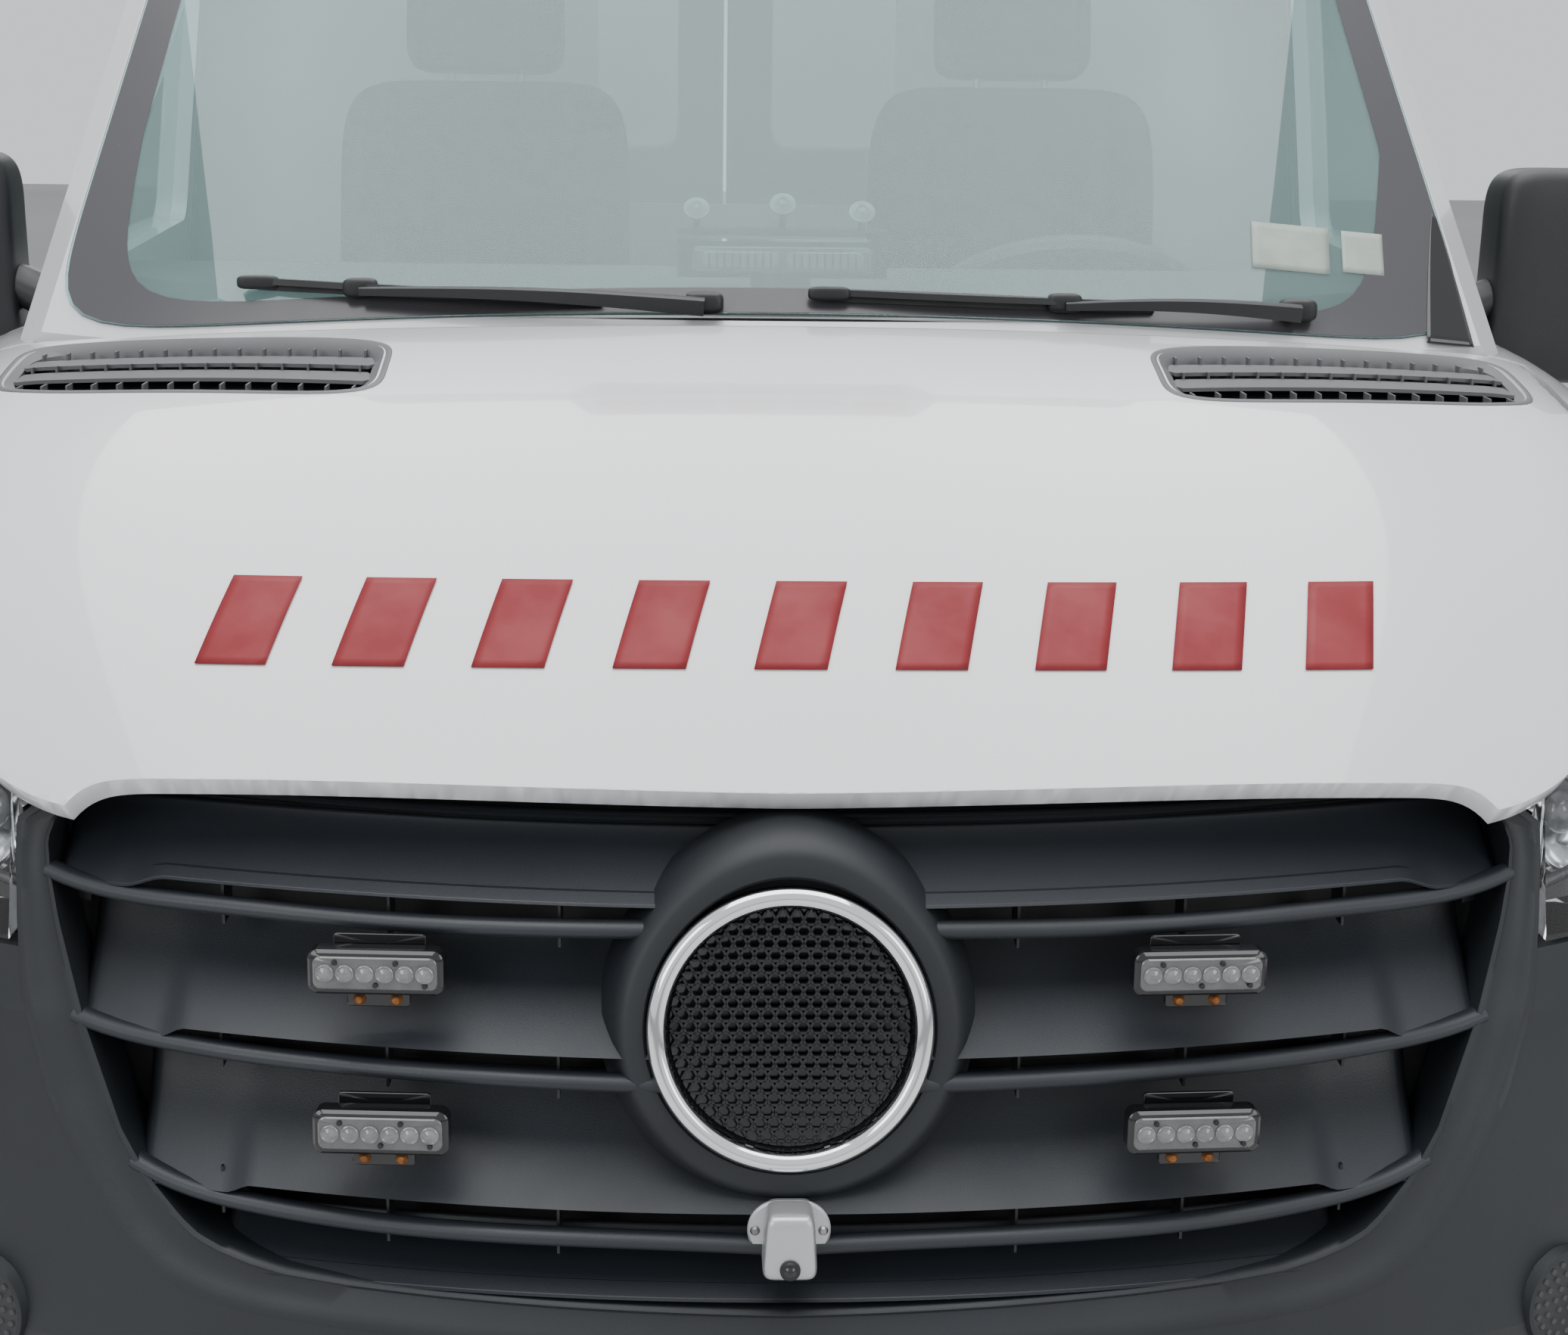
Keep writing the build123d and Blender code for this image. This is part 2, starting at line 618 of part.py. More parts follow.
def cab_wall(inset0, inset1, outline):
    """The cab's wall between two depths within a side outline."""
    below = (lower_body(inset0) & outline) - lower_body(inset1) - greenhouse(inset1)
    above = (greenhouse(inset0) & outline) - greenhouse(inset1)
    return below + (above & slab(-1200, 1200, 0, LENGTH, BELT_Z - 40, RAIL_Z))


@cache
def front_door_panel():
    """A front door on the +X side: its skin and its stepped inner frame in one panel."""
    outer = cab_wall(0, DOOR_SKIN + 1, door_prism(0, 0, 500, 1200))
    inner = cab_wall(DOOR_SKIN, WALL, door_prism(0, DOOR_STEP, 500, 1200))
    return outer + inner - door_window(500, 1200)


def front_door(sign):
    """One front door."""
    return front_door_panel() if sign > 0 else flipped(front_door_panel())


def front_door_glass(sign):
    """The front door's window."""
    sheet = (greenhouse(20) - greenhouse(20 + GLASS_T)) & door_window(300, 1200)
    return sheet if sign > 0 else flipped(sheet)


@cache
def mirror_body():
    """The +X mirror's head on its arm, up to the door's skin."""
    outline = [(950, 1400), (950, 1330), (1010, 1290), (1120, 1296), (MIRROR_X, 1345), (MIRROR_X, 1400)]
    head = plan_prism(outline, 1290, 1565, 22)
    head = fillet(head.edges().group_by(Axis.Z)[-1] + head.edges().group_by(Axis.Z)[0], 18)
    arm = side_prism([(1285, 1362), (1345, 1362), (1345, 1412), (1285, 1412)], 870, 960)
    return (head - lower_body(-6)) + (arm - greenhouse(0) - lower_body(0))


def side_mirror(sign):
    """A door mirror."""
    return mirror_body() if sign > 0 else flipped(mirror_body())


def side_left():
    """The wall on the driver's side, from the cab to the rear frame."""
    wall = body_wall(CAB_END_S, REAR_FRAME_S, SKIRT_Z, RAIL_Z)
    return wall - wheel_drum(ARCH_R, REAR_AXLE_S) - load_window(300, 1200)


def sliding_prism(grow):
    """The side door's outline."""
    s0, s1 = CAB_END_S + 8 - grow, SLIDE_END_S + grow
    z0, z1 = DOOR_Z - grow, DOOR_TOP_Z + grow
    return side_prism([(s0, z0), (s1, z0), (s1, z1), (s0, z1)], 300, 1200)


def side_right():
    """The wall on the kerb side, with the side door's opening."""
    wall = body_wall(CAB_END_S, REAR_FRAME_S, SKIRT_Z, RAIL_Z)
    return flipped(wall - wheel_drum(ARCH_R, REAR_AXLE_S) - sliding_prism(GAP))


def sliding_door():
    """The side door."""
    wall = body_wall(CAB_END_S, SLIDE_END_S + 20, SKIRT_Z, RAIL_Z) & sliding_prism(0)
    return flipped(wall - load_window(300, 1200))


def side_glass():
    """The load space's window on each side."""
    sheet = body_wall(CAB_END_S, REAR_FRAME_S, SKIRT_Z, RAIL_Z, GLASS_IN, GLASS_T) & load_window(300, 1200)
    return both(sheet)


def roof():
    """The high roof's shell."""
    shell = roof_form(0) - roof_form(WALL)
    return shell & slab(-1100, 1100, 1500, REAR_FRAME_S, RAIL_Z, 2900)


def rear_frame():
    """The frame round the rear doors."""
    rows = [(side_x(SKIRT_Z), SKIRT_Z), *((x, z) for z, x in BODY_SIDE if z > SKIRT_Z)]
    below = front_prism(mirrored_outline([(0, SKIRT_Z), *rows, (0, RAIL_Z)]), REAR_FRAME_S, REAR_FACE_S)
    above = roof_form(0) & slab(-1100, 1100, REAR_FRAME_S, REAR_FACE_S, RAIL_Z, 2900)
    z0, z1 = REAR_DOOR_Z - GAP, REAR_DOOR_TOP_Z + GAP
    opening = slab(-REAR_DOOR_X - GAP, REAR_DOOR_X + GAP, REAR_FRAME_S - 10, REAR_FACE_S + 10, z0, z1)
    frame = below + above - opening - tail_lamp_room() - flipped(tail_lamp_room())
    x0, x1 = REAR_DOOR_X + SEAT_GAP, REAR_DOOR_X + GAP + 2
    leaves = [slab(x0, x1, REAR_FACE_S - 44, REAR_FACE_S - 10, z, z + 80) for z in REAR_LEAF_Z]
    return frame + leaves + [flipped(leaf) for leaf in leaves]


def rear_door(sign):
    """One rear door."""
    panel = slab(5, REAR_DOOR_X, REAR_FACE_S - WALL, REAR_FACE_S, REAR_DOOR_Z, REAR_DOOR_TOP_Z)
    door = panel - rear_window(REAR_FACE_S - 100, REAR_FACE_S + 10)
    return door if sign > 0 else flipped(door)


def rear_door_glass(sign):
    """A rear door's window."""
    sheet = rear_window(REAR_FACE_S - GLASS_IN - GLASS_T, REAR_FACE_S - GLASS_IN)
    return sheet if sign > 0 else flipped(sheet)


def floor():
    """The floor with its boxes over the rear wheels."""
    edge = side_x(FLOOR_Z - FLOOR_T) - WALL - 8
    plate = slab(-edge, edge, FOOT_S, REAR_FRAME_S, FLOOR_Z - FLOOR_T, FLOOR_Z)
    for sign in (-1, 1):
        plate = plate - well_room(sign)
        near, far = sorted((sign * 690, sign * edge))
        house = wheel_drum(ARCH_R + 30, REAR_AXLE_S, near, far)
        house = house & slab(-edge, edge, 4000, 5400, FLOOR_Z - FLOOR_T, 1000)
        near, far = sorted((sign * 705, sign * 1100))
        plate = plate + house - wheel_drum(ARCH_R, REAR_AXLE_S, near, far)
    plate = plate + slab(*LOAD_SHEET, FLOOR_Z - 1, FLOOR_Z + LOAD_SHEET_T)
    holes = [Pos(*at(x, s, FLOOR_Z - 30)) * Cylinder(ANCHOR_R, 100) for x in ANCHOR_X for s in ANCHOR_S]
    return plate - holes


def chassis_frame():
    """Two long rails with their cross members."""
    frame = slab(RAIL_X0, RAIL_X1, RADIATOR_S + 60, REAR_FRAME_S, CHASSIS_Z, FLOOR_Z - FLOOR_T)
    frame = frame + flipped(frame)
    for s in CROSS_S:
        frame = frame + slab(-RAIL_X0 - 1, RAIL_X0 + 1, s, s + 70, CHASSIS_Z + 20, FLOOR_Z - FLOOR_T - 20)
    return frame


def engine():
    """The engine and its gearbox as one plain block."""
    return slab(-270, 270, 470, 1010, 500, 1080) + slab(-150, 150, 1000, 1480, 420, 630)


def radiator():
    """The radiator and the beam over it, with the stops that the hood rests on."""
    s0, s1 = RADIATOR_S, RADIATOR_S + 60
    core = slab(-340, 340, s0, s1, 400, 920)
    beam = slab(-600, 600, s0, s1, 915, 990)
    stops = [Pos(*at(x, s0 + 30, 1100)) * Cylinder(16, 300) for x in (-480, 480)]
    posts = both(slab(RAIL_X0, RAIL_X1, s0, s1, CHASSIS_Z, 916))
    return (core + beam + posts + stops) & top_cover(PANEL + SEAT_GAP)


def rear_axle():
    """The rear axle's casing with a stub for each wheel, and the shaft that comes from the gearbox."""
    half = TRACK_REAR / 2
    tube = rod(at(-half + 90, REAR_AXLE_S, TYRE_R), at(half - 90, REAR_AXLE_S, TYRE_R), AXLE_R)
    stubs = rod(at(-half - 20, REAR_AXLE_S, TYRE_R), at(half + 20, REAR_AXLE_S, TYRE_R), HUB_R)
    # columns: radius, distance from the casing's middle
    profile = [(0, -115), (60, -115), (140, -45), (140, 45), (60, 115), (0, 115)]
    drum = revolve(make_face(Polyline(*[(r, 0, w) for r, w in profile], close=True)), Axis.Z)
    casing = Plane(origin=at(0, REAR_AXLE_S, TYRE_R), x_dir=(0, 1, 0), z_dir=(1, 0, 0)) * drum
    nose = rod(at(0, REAR_AXLE_S - 190, TYRE_R), at(0, REAR_AXLE_S - 100, TYRE_R), 70)
    shaft = rod(at(0, 1481.3, 470), at(0, REAR_AXLE_S - 180, TYRE_R), SHAFT_R)
    return tube + stubs + casing + nose + shaft


def leaf_springs():
    """A leaf spring on each side, hung from the rails."""
    low, high = TYRE_R + AXLE_R, 545.0
    top = Edge.make_three_point_arc(
        at(0, REAR_AXLE_S - LEAF_HALF, high), at(0, REAR_AXLE_S, low), at(0, REAR_AXLE_S + LEAF_HALF, high)
    )
    ends = [top @ 0, top @ 1]
    upper = top.moved(Location((0, 0, 26)))
    sides = [Edge.make_line(ends[i], upper @ i) for i in (0, 1)]
    leaf = extrude(Face(Wire([top, sides[1], upper, sides[0]])), amount=LEAF_W, dir=(1, 0, 0))
    leaf = Pos(LEAF_X - LEAF_W / 2, 0, 0) * leaf
    hangers = [
        slab(RAIL_X1, LEAF_X + 30, REAR_AXLE_S + d - 25, REAR_AXLE_S + d + 25, high - 5, FLOOR_Z - FLOOR_T)
        for d in (-LEAF_HALF, LEAF_HALF)
    ]
    return both(leaf + hangers)


def fuel_tank():
    """The fuel tank beside the rail."""
    tank = slab(RAIL_X1 + 10, 880, 2450, 3350, 400, 625)
    straps = [slab(RAIL_X1, 884, s, s + 40, 396, FLOOR_Z - FLOOR_T) for s in (2600, 3150)]
    return fillet(tank.edges().filter_by(Axis.Y), 40) + straps


def exhaust():
    """The silencer and its pipe."""
    x, z = -560, 440
    silencer = rod(at(x, 2700, z), at(x, 3500, z), 105)
    pipe = rod(at(x, 1750, z), at(x, 4050, z), 30)
    hangers = [slab(x - 12, x + 12, s, s + 20, z, FLOOR_Z - FLOOR_T) for s in (1800, 2750, 3450, 3950)]
    return silencer + pipe + hangers


def front_suspension():
    """The front cross beam and its lower arms."""
    beam = slab(-330, 330, FRONT_AXLE_S - 60, FRONT_AXLE_S + 60, 250, 330)
    towers = both(slab(RAIL_X0 - 60, RAIL_X1, FRONT_AXLE_S - 50, FRONT_AXLE_S + 50, 250, CHASSIS_Z))
    half = [(300, 190), (360, 200), (BALL_X + 20, 26)]
    outline = [(x, FRONT_AXLE_S - d) for x, d in half] + [(x, FRONT_AXLE_S + d) for x, d in reversed(half)]
    half = [(390, 120), (620, 30)]
    window = [(x, FRONT_AXLE_S - d) for x, d in half] + [(x, FRONT_AXLE_S + d) for x, d in reversed(half)]
    arm = plan_prism(outline, BALL_Z - 32, BALL_Z - 8) - plan_prism(window, BALL_Z - 80, BALL_Z)
    link = both(arm + slab(300, 360, FRONT_AXLE_S - 190, FRONT_AXLE_S + 190, BALL_Z - 32, 251))
    return beam + towers + link


def knuckle(sign):
    """A steered upright with its strut, spring and stub axle."""
    stub = rod(at(BALL_X - 50, FRONT_AXLE_S, TYRE_R), at(TRACK_FRONT / 2 + 20, FRONT_AXLE_S, TYRE_R), HUB_R)
    lean = (BALL_X - STRUT_X) / math.hypot(BALL_X - STRUT_X, STRUT_Z - BALL_Z)
    post = rod(kingpin_point(BALL_Z - 8 + SEAT_GAP + 26 * lean), kingpin_point(TYRE_R), 26)
    tube = rod(kingpin_point(TYRE_R - 10), kingpin_point(700), STRUT_R)
    spring = rod(kingpin_point(690), kingpin_point(STRUT_Z - 12), SPRING_R)
    top = rod(kingpin_point(STRUT_Z - 20), kingpin_point(STRUT_Z + 40), STRUT_ROD_R)
    arm = slab(680, 760, FRONT_AXLE_S + 10, FRONT_AXLE_S + 170, 300, 330)
    upright = slab(725, 775, FRONT_AXLE_S - 45, FRONT_AXLE_S + 45, 290, 470)
    body = stub + post + tube + spring + top + arm + upright
    return body if sign > 0 else flipped(body)


def wheel_place(end, sign):
    """Where a wheel sits, its own +Z pointing outwards."""
    s, track = (FRONT_AXLE_S, TRACK_FRONT) if end == "front" else (REAR_AXLE_S, TRACK_REAR)
    return Plane(origin=at(sign * track / 2, s, TYRE_R), x_dir=(0, 1, 0), z_dir=(sign, 0, 0))


@cache
def tyre_form():
    """A tyre about its own axis."""
    half = TYRE_W / 2
    # columns: radius, distance from the middle plane
    side = [(RIM_R + SEAT_GAP, half - 28), (RIM_R + 26, half - 8), (RIM_R + 80, half), (TYRE_R - 24, half - 8)]
    side = [*side, (TYRE_R, half - 40)]
    profile = [(r, 0, w) for r, w in side] + [(r, 0, -w) for r, w in reversed(side)]
    return revolve(make_face(Polyline(*profile, close=True)), Axis.Z)


@cache
def rim_form():
    """A pressed steel wheel with its hub and brake disc about its own axis."""
    half = TYRE_W / 2
    flange = RIM_R + 3
    # columns: radius, distance from the middle plane, along the outside and back along the inside
    profile = [
        (HUB_R + HUB_CLEARANCE, -30), (HUB_R + HUB_CLEARANCE, 70), (66, 70), (76, 56), (184, 56), (205, 30),
        (205, half - 55), (flange, half - 19), (flange, half - 25), (RIM_R, half - 25), (RIM_R, half - 48),
        (212, half - 60), (212, -half + 60), (RIM_R, -half + 48), (RIM_R, -half + 25), (flange, -half + 25),
        (flange, -half + 19), (198, -half + 55), (198, 20), (180, 44), (76, 44), (76, 0), (DISC_R, 0),
        (DISC_R, -24), (76, -24), (70, -30),
    ]
    dish = revolve(make_face(Polyline(*[(r, 0, w) for r, w in profile], close=True)), Axis.Z)
    holes = [Rot(0, 0, a * 360 / 8) * Pos(145, 0, 50) * Cylinder(22, 40) for a in range(8)]
    cap = Pos(0, 0, 78) * Cylinder(60, 18)
    return dish - holes + cap


def tyre(end, sign):
    """One tyre in its place."""
    return wheel_place(end, sign) * tyre_form()


def rim(end, sign):
    """One wheel in its place."""
    return wheel_place(end, sign) * rim_form()


def grille_frame():
    """The surround of the grille."""
    ring = nose_skin(-6, PANEL + 26) & grille_zone(0)
    return ring - grille_prism(GRILLE_INNER, 0) - hood_clear()


def louvre_section(x, z, z_top):
    """A slat's and its bar's outlines in the plane at one half width, the bar at height z."""
    s = nose_front(z) + BOW_DEPTH * (x / BOW_HALF) ** 2
    top_in, mid_in, foot_in = SLAT_IN
    foot, middle = z + BAR_GAP, (z + BAR_GAP + z_top) / 2
    face = [(top_in, z_top), (mid_in, middle), (foot_in, foot)]
    front = Edge.make_three_point_arc(*[at(x, s + d, h) for d, h in face])
    back = Edge.make_three_point_arc(*[at(x, s + d + SLAT_T, h) for d, h in face])
    edges = [front, Edge.make_line(front @ 1, back @ 1), back, Edge.make_line(back @ 0, front @ 0)]
    bar = [at(x, s + BAR_IN + d * BAR_R, z + h * BAR_R) for d, h in BAR_SECTION]
    return Wire(edges), Wire.make_polygon(bar, close=True)


def louvre(z, rise, half, z_top):
    """One louvre: a slat that leans forward at its foot, over a bar, both bowed and rising to their ends."""
    sections = [louvre_section(half * k, z + rise * k * k, z_top + rise * k * k) for k in (-1, 0, 1)]
    return [Solid.make_loft([pair[i] for pair in sections], False) for i in (0, 1)]


def foot_end(z, rise, half):
    """The web that closes the outer end of a slat's foot down to its bar."""
    sections = []
    for share in (FOOT_END, 1.0):
        x, h = half * share, z + rise * share**2
        s = nose_front(h) + BOW_DEPTH * (x / BOW_HALF) ** 2 + BAR_IN
        corners = [(0, h), (0, h + BAR_GAP + 4), (12, h + BAR_GAP + 4), (8, h)]
        sections.append(Wire.make_polygon([at(x, s + d, v) for d, v in corners], close=True))
    return Solid.make_loft(sections, True)


def rib(x, z):
    """A thin rib that ties a bar to the slats above and below it."""
    s = nose_front(z) + BOW_DEPTH * (x / BOW_HALF) ** 2
    return slab(x - 2, x + 2, s + BAR_IN, s + 66, z - 24, z + BAR_GAP + 4)


def nose_front(z):
    """The station of the nose on the centre line at one height."""
    for (z0, s0, _), (z1, s1, _) in zip(NOSE_ROWS, NOSE_ROWS[1:]):
        if z <= z1:
            return s0 + (s1 - s0) * (z - z0) / (z1 - z0)
    return NOSE_ROWS[-1][1]


def grille():
    """The surround with its louvres, and the boss and the spine that carry the badge."""
    inner = grille_prism(GRILLE_INNER, 4)
    slats = [part & inner for row in LOUVRES for part in louvre(*row)]
    back = nose_front(BADGE_Z) + 22
    spine = slab(-30, 30, back + 22, back + 72, 620, 1030)
    webs = [foot_end(*row[:3]) & inner for row in LOUVRES] + [rib(x, row[0]) for row in LOUVRES for x in RIB_X]
    boss = badge_plane() * Pos(0, 0, -BADGE_T - 46) * Cone(BOSS_R + 12, BOSS_R, 64, align=LOW)
    plain = grille_frame() + slats + spine + webs + [flipped(web) for web in webs] + boss
    return plain - badge_room() - grille_lamps() - front_camera()


def badge_plane():
    """The badge's leaning face, its own +Z pointing forwards."""
    tilt = math.radians(BADGE_LEAN)
    return Plane(origin=at(0, nose_front(BADGE_Z) + 2, BADGE_Z), z_dir=(0, -math.cos(tilt), math.sin(tilt)))


def badge():
    """A plain ring over a mesh disc."""
    ring = Cylinder(BADGE_R, BADGE_T, align=HIGH) - Cylinder(BADGE_R - BADGE_RIM, BADGE_T + 1, align=HIGH)
    disc = Pos(0, 0, -BADGE_DISH) * Cylinder(BADGE_R - BADGE_RIM + 1, BADGE_T - BADGE_DISH, align=HIGH)
    return badge_plane() * (ring + disc)


def badge_room():
    """The room in the louvres that the badge sits in."""
    room = Cylinder(BADGE_R + SEAT_GAP, BADGE_T + SEAT_GAP + 60, align=LOW)
    return badge_plane() * Pos(0, 0, -BADGE_T - SEAT_GAP) * room


def grille_lamps():
    """The flashing lamps on the louvres."""
    lamps = []
    for x, z in GRILLE_LAMPS:
        s = nose_front(z) + BOW_DEPTH * (x / BOW_HALF) ** 2 - 2
        for sign in (-1, 1):
            x0, x1 = sorted((sign * (x - GRILLE_LAMP_W / 2), sign * (x + GRILLE_LAMP_W / 2)))
            lamps.append(slab(x0, x1, s - 22, s, z - GRILLE_LAMP_H / 2, z + GRILLE_LAMP_H / 2))
            lamps.append(slab(x0 + 35, x1 - 35, s, s + GRILLE_LAMP_STEM, z - 6, z + 6))
    return Compound(lamps)


def front_camera():
    """The small camera under the badge."""
    face = nose_front(CAMERA_Z) + BAR_IN
    return slab(-37, 37, face - 44, face, CAMERA_Z - 26, CAMERA_Z + 30)


def lamp_housing():
    """The housing of warning lamps over the windscreen."""
    block = front_prism(mirrored_outline([(0, 2262), (330, 2262), (300, 2420), (0, 2432)]), HOUSING_S, 2050)
    return block - roof_form(-SEAT_GAP)


def warning_lamps():
    """The warning lamps in the front housing, along the sides and over the rear doors."""
    front = [slab(x - 48, x + 48, HOUSING_S - 12, HOUSING_S, 2300, 2385) for x in (-230, -115, 0, 115, 230)]
    rear = [slab(x - 90, x + 90, REAR_FACE_S, REAR_FACE_S + 22, 2440, 2500) for x in (-600, 600)]
    x = side_x(2180)
    sides = []
    for s in SIDE_LAMP_S:
        lamp = slab(x - 20, x + 24, s - 100, s + 100, 2130, 2200) - body_solid()
        sides += [lamp, flipped(lamp)]
    return Compound([piece.solids()[0] for piece in front + rear + sides])


@cache
def body_solid():
    """The load space's outer form, filled."""
    rows = [(side_x(SKIRT_Z), SKIRT_Z), *((x, z) for z, x in BODY_SIDE if z > SKIRT_Z)]
    return front_prism(mirrored_outline([(0, SKIRT_Z), *rows, (0, RAIL_Z)]), CAB_END_S, REAR_FACE_S)


def tail_lamp_room():
    """The corner that a tail lamp takes from the rear frame."""
    return slab(905, 1100, REAR_FACE_S - 42, REAR_FACE_S + 10, 900, 1240)


def tail_lamps():
    """An upright lamp in each rear corner."""
    return both(body_solid() & tail_lamp_room())


def rear_bumper():
    """The rear step and its corner pieces."""
    step = slab(-990, 990, REAR_FACE_S + SEAT_GAP, LENGTH, 400, 520)
    step = fillet(step.edges().filter_by(Axis.Z), 20)
    tread = [slab(-940, 940, s, s + 14, 519, 524) for s in (5885, 5905)]
    return step + tread


def side_mouldings():
    """The rubbing strips along the body's sides."""
    strips = []
    for s0, s1 in ((2480, 3640), (3760, 4190), (5150, 5780)):
        x = side_x(850)
        strips.append(slab(x - 10, x + 14, s0, s1, 800, 880) - body_solid())
    return both(Compound(strips))


def screen_s(x, z):
    """The station of the windscreen at one half width and height."""
    z0, s_mid, x_glass, bow, *_ = GREENHOUSE_ROWS[0]
    z1, s_top, *_ = GREENHOUSE_ROWS[1]
    return s_mid + (z - z0) / (z1 - z0) * (s_top - s_mid) + bow * (x / x_glass) ** 2


def wipers():
    """Two wiper blades parked on the foot of the windscreen, bent along it."""
    z0, s_mid, *_ = GREENHOUSE_ROWS[0]
    z1, s_top, *_ = GREENHOUSE_ROWS[1]
    lift = (WIPER_R + SEAT_GAP) / math.cos(math.atan((s_top - s_mid) / (z1 - z0))) + 1
    blades = []
    for x0, x1 in WIPER_ENDS:
        points = [at(x, screen_s(x, WIPER_Z) + GLASS_IN - lift, WIPER_Z) for x in (x0, (x0 + x1) / 2, x1)]
        line = Edge.make_three_point_arc(*points)
        blades.append(sweep(Plane(origin=line @ 0, z_dir=line % 0) * Circle(WIPER_R), line))
    return blades


def dashboard():
    """The dashboard across the cab."""
    outline = [
        (900, 1340), (1000, 1412), (1180, 1440), (1330, 1418), (1372, 1330), (1330, 1120), (1250, 980),
        (1217, 980), (1217, 1272), (902, 1272),
    ]
    board = side_prism(outline, -900, 900)
    below = (board & lower_body(WALL + 12)) - slab(-1100, 1100, 800, 1500, GREENHOUSE_ROWS[0][0], 1500)
    column = Plane(origin=STEER_CENTRE, x_dir=(1, 0, 0), z_dir=STEER_AXIS) * (
        Pos(0, 0, -COLUMN - SEAT_GAP) * Cylinder(46, 170, align=HIGH)
    )
    swing = Pos(*at(DOOR_PIN_X, DOOR_PIN_S, 1335)) * Cylinder(DOOR_SWING_R, 300, align=LOW)
    return (below + (board & greenhouse(WALL + 12)) - both(swing)) + column


def dash_lamp():
    """The warning lamp behind the windscreen."""
    bar = slab(-106, 139, 1010, 1060, 1440, 1482)
    return bar + slab(-20, 50, 1030, 1050, 1420.2, 1441)


def steering_wheel():
    """The steering wheel with its column."""
    plane = Plane(origin=STEER_CENTRE, x_dir=(1, 0, 0), z_dir=STEER_AXIS)
    rim_section = Plane.XZ * Pos(STEER_R, 0) * RegularPolygon(15, 8)
    wheel = revolve(rim_section, Axis.Z) + Cylinder(55, 40)
    for a in (0, 120, 240):
        wheel = wheel + Rot(0, 0, a - 90) * Pos(STEER_R / 2, 0, 0) * Box(STEER_R, 30, 14)
    column = Cylinder(22, COLUMN, align=HIGH)
    return plane * (wheel + column)


def seat(x):
    """A cab seat: base, cushion, back and headrest in one closed form."""
    cushion = side_prism([(1640, 1000), (2120, 985), (2120, 1110), (1640, 1130)], x - 240, x + 240, 40)
    back = side_prism([(2030, 1060), (2140, 1060), (2260, 1640), (2160, 1650)], x - 230, x + 230, 40)
    head = side_prism([(2170, 1665), (2245, 1665), (2262, 1820), (2190, 1820)], x - 125, x + 125, 25)
    posts = [rod(at(x + d, 2205, 1600), at(x + d, 2215, 1700), 7) for d in (-60, 60)]
    return cushion + back + head + posts


def seats():
    """The driver's and the passenger's seat, each on its box."""
    corners = [(1700, FLOOR_Z), (2080, FLOOR_Z), (2100, 1010), (1680, 1020)]
    base = side_prism(corners, SEAT_X - 200, SEAT_X + 200)
    one = seat(SEAT_X) + base
    return Compound([one, flipped(one)])


def partition():
    """The partition behind the cab, with its window."""
    wall = slab(-1000, 1000, CAB_END_S + 10, CAB_END_S + 40, FLOOR_Z, RAIL_Z)
    rows = [(side_x(FLOOR_Z) - WALL, FLOOR_Z), *((x - WALL, z) for z, x in BODY_SIDE if z > FLOOR_Z)]
    inside = front_prism(mirrored_outline([(0, FLOOR_Z), *rows, (0, RAIL_Z)]), CAB_END_S, CAB_END_S + 60)
    corners = [(-250, 1450), (250, 1450), (250, 1950), (-250, 1950)]
    window = front_prism(corners, CAB_END_S, CAB_END_S + 60, 50)
    return (wall & inside) - window


def cabinets():
    """The cupboards along the driver's side and the bench on the kerb side."""
    x1 = side_x(RAIL_Z) - WALL - 10
    high = slab(x1 - 380, x1, CAB_END_S + 60, 5300, 1080, 1400)
    low = slab(x1 - 380, x1, CAB_END_S + 60, 4100, FLOOR_Z, 1081)
    seat_box = slab(-x1, -x1 + 190, SLIDE_END_S + 80, 4180, FLOOR_Z, 1150)
    return Compound([high + low, seat_box])


PIECES = {
    piece.__name__: piece
    for piece in (
        cab_frame, windscreen, bulkhead, wheelhouses, fenders, front_bumper, headlamps, grille, grille_lamps,
        badge, front_camera, cowl, hood, hood_vents, side_left, side_right, sliding_door, side_glass,
        side_mouldings, roof, rear_frame, tail_lamps, rear_bumper, lamp_housing, warning_lamps, floor,
        chassis_frame, engine, radiator, rear_axle, leaf_springs, fuel_tank, exhaust, front_suspension,
        dashboard, dash_lamp, steering_wheel, seats, partition, cabinets,
    )
}
SIDED = (front_door, front_door_glass, side_mirror, rear_door, rear_door_glass, knuckle)
for side, sign in (("left", 1), ("right", -1)):
    PIECES |= {f"{piece.__name__}_{side}": partial(piece, sign) for piece in SIDED}
    for end in ("front", "rear"):
        PIECES[f"tyre_{end}_{side}"] = partial(tyre, end, sign)
        PIECES[f"rim_{end}_{side}"] = partial(rim, end, sign)

os.makedirs("parts", exist_ok=True)
for name, piece in PIECES.items():
    export_step(piece(), f"parts/{name}.step")
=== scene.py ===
from functools import partial

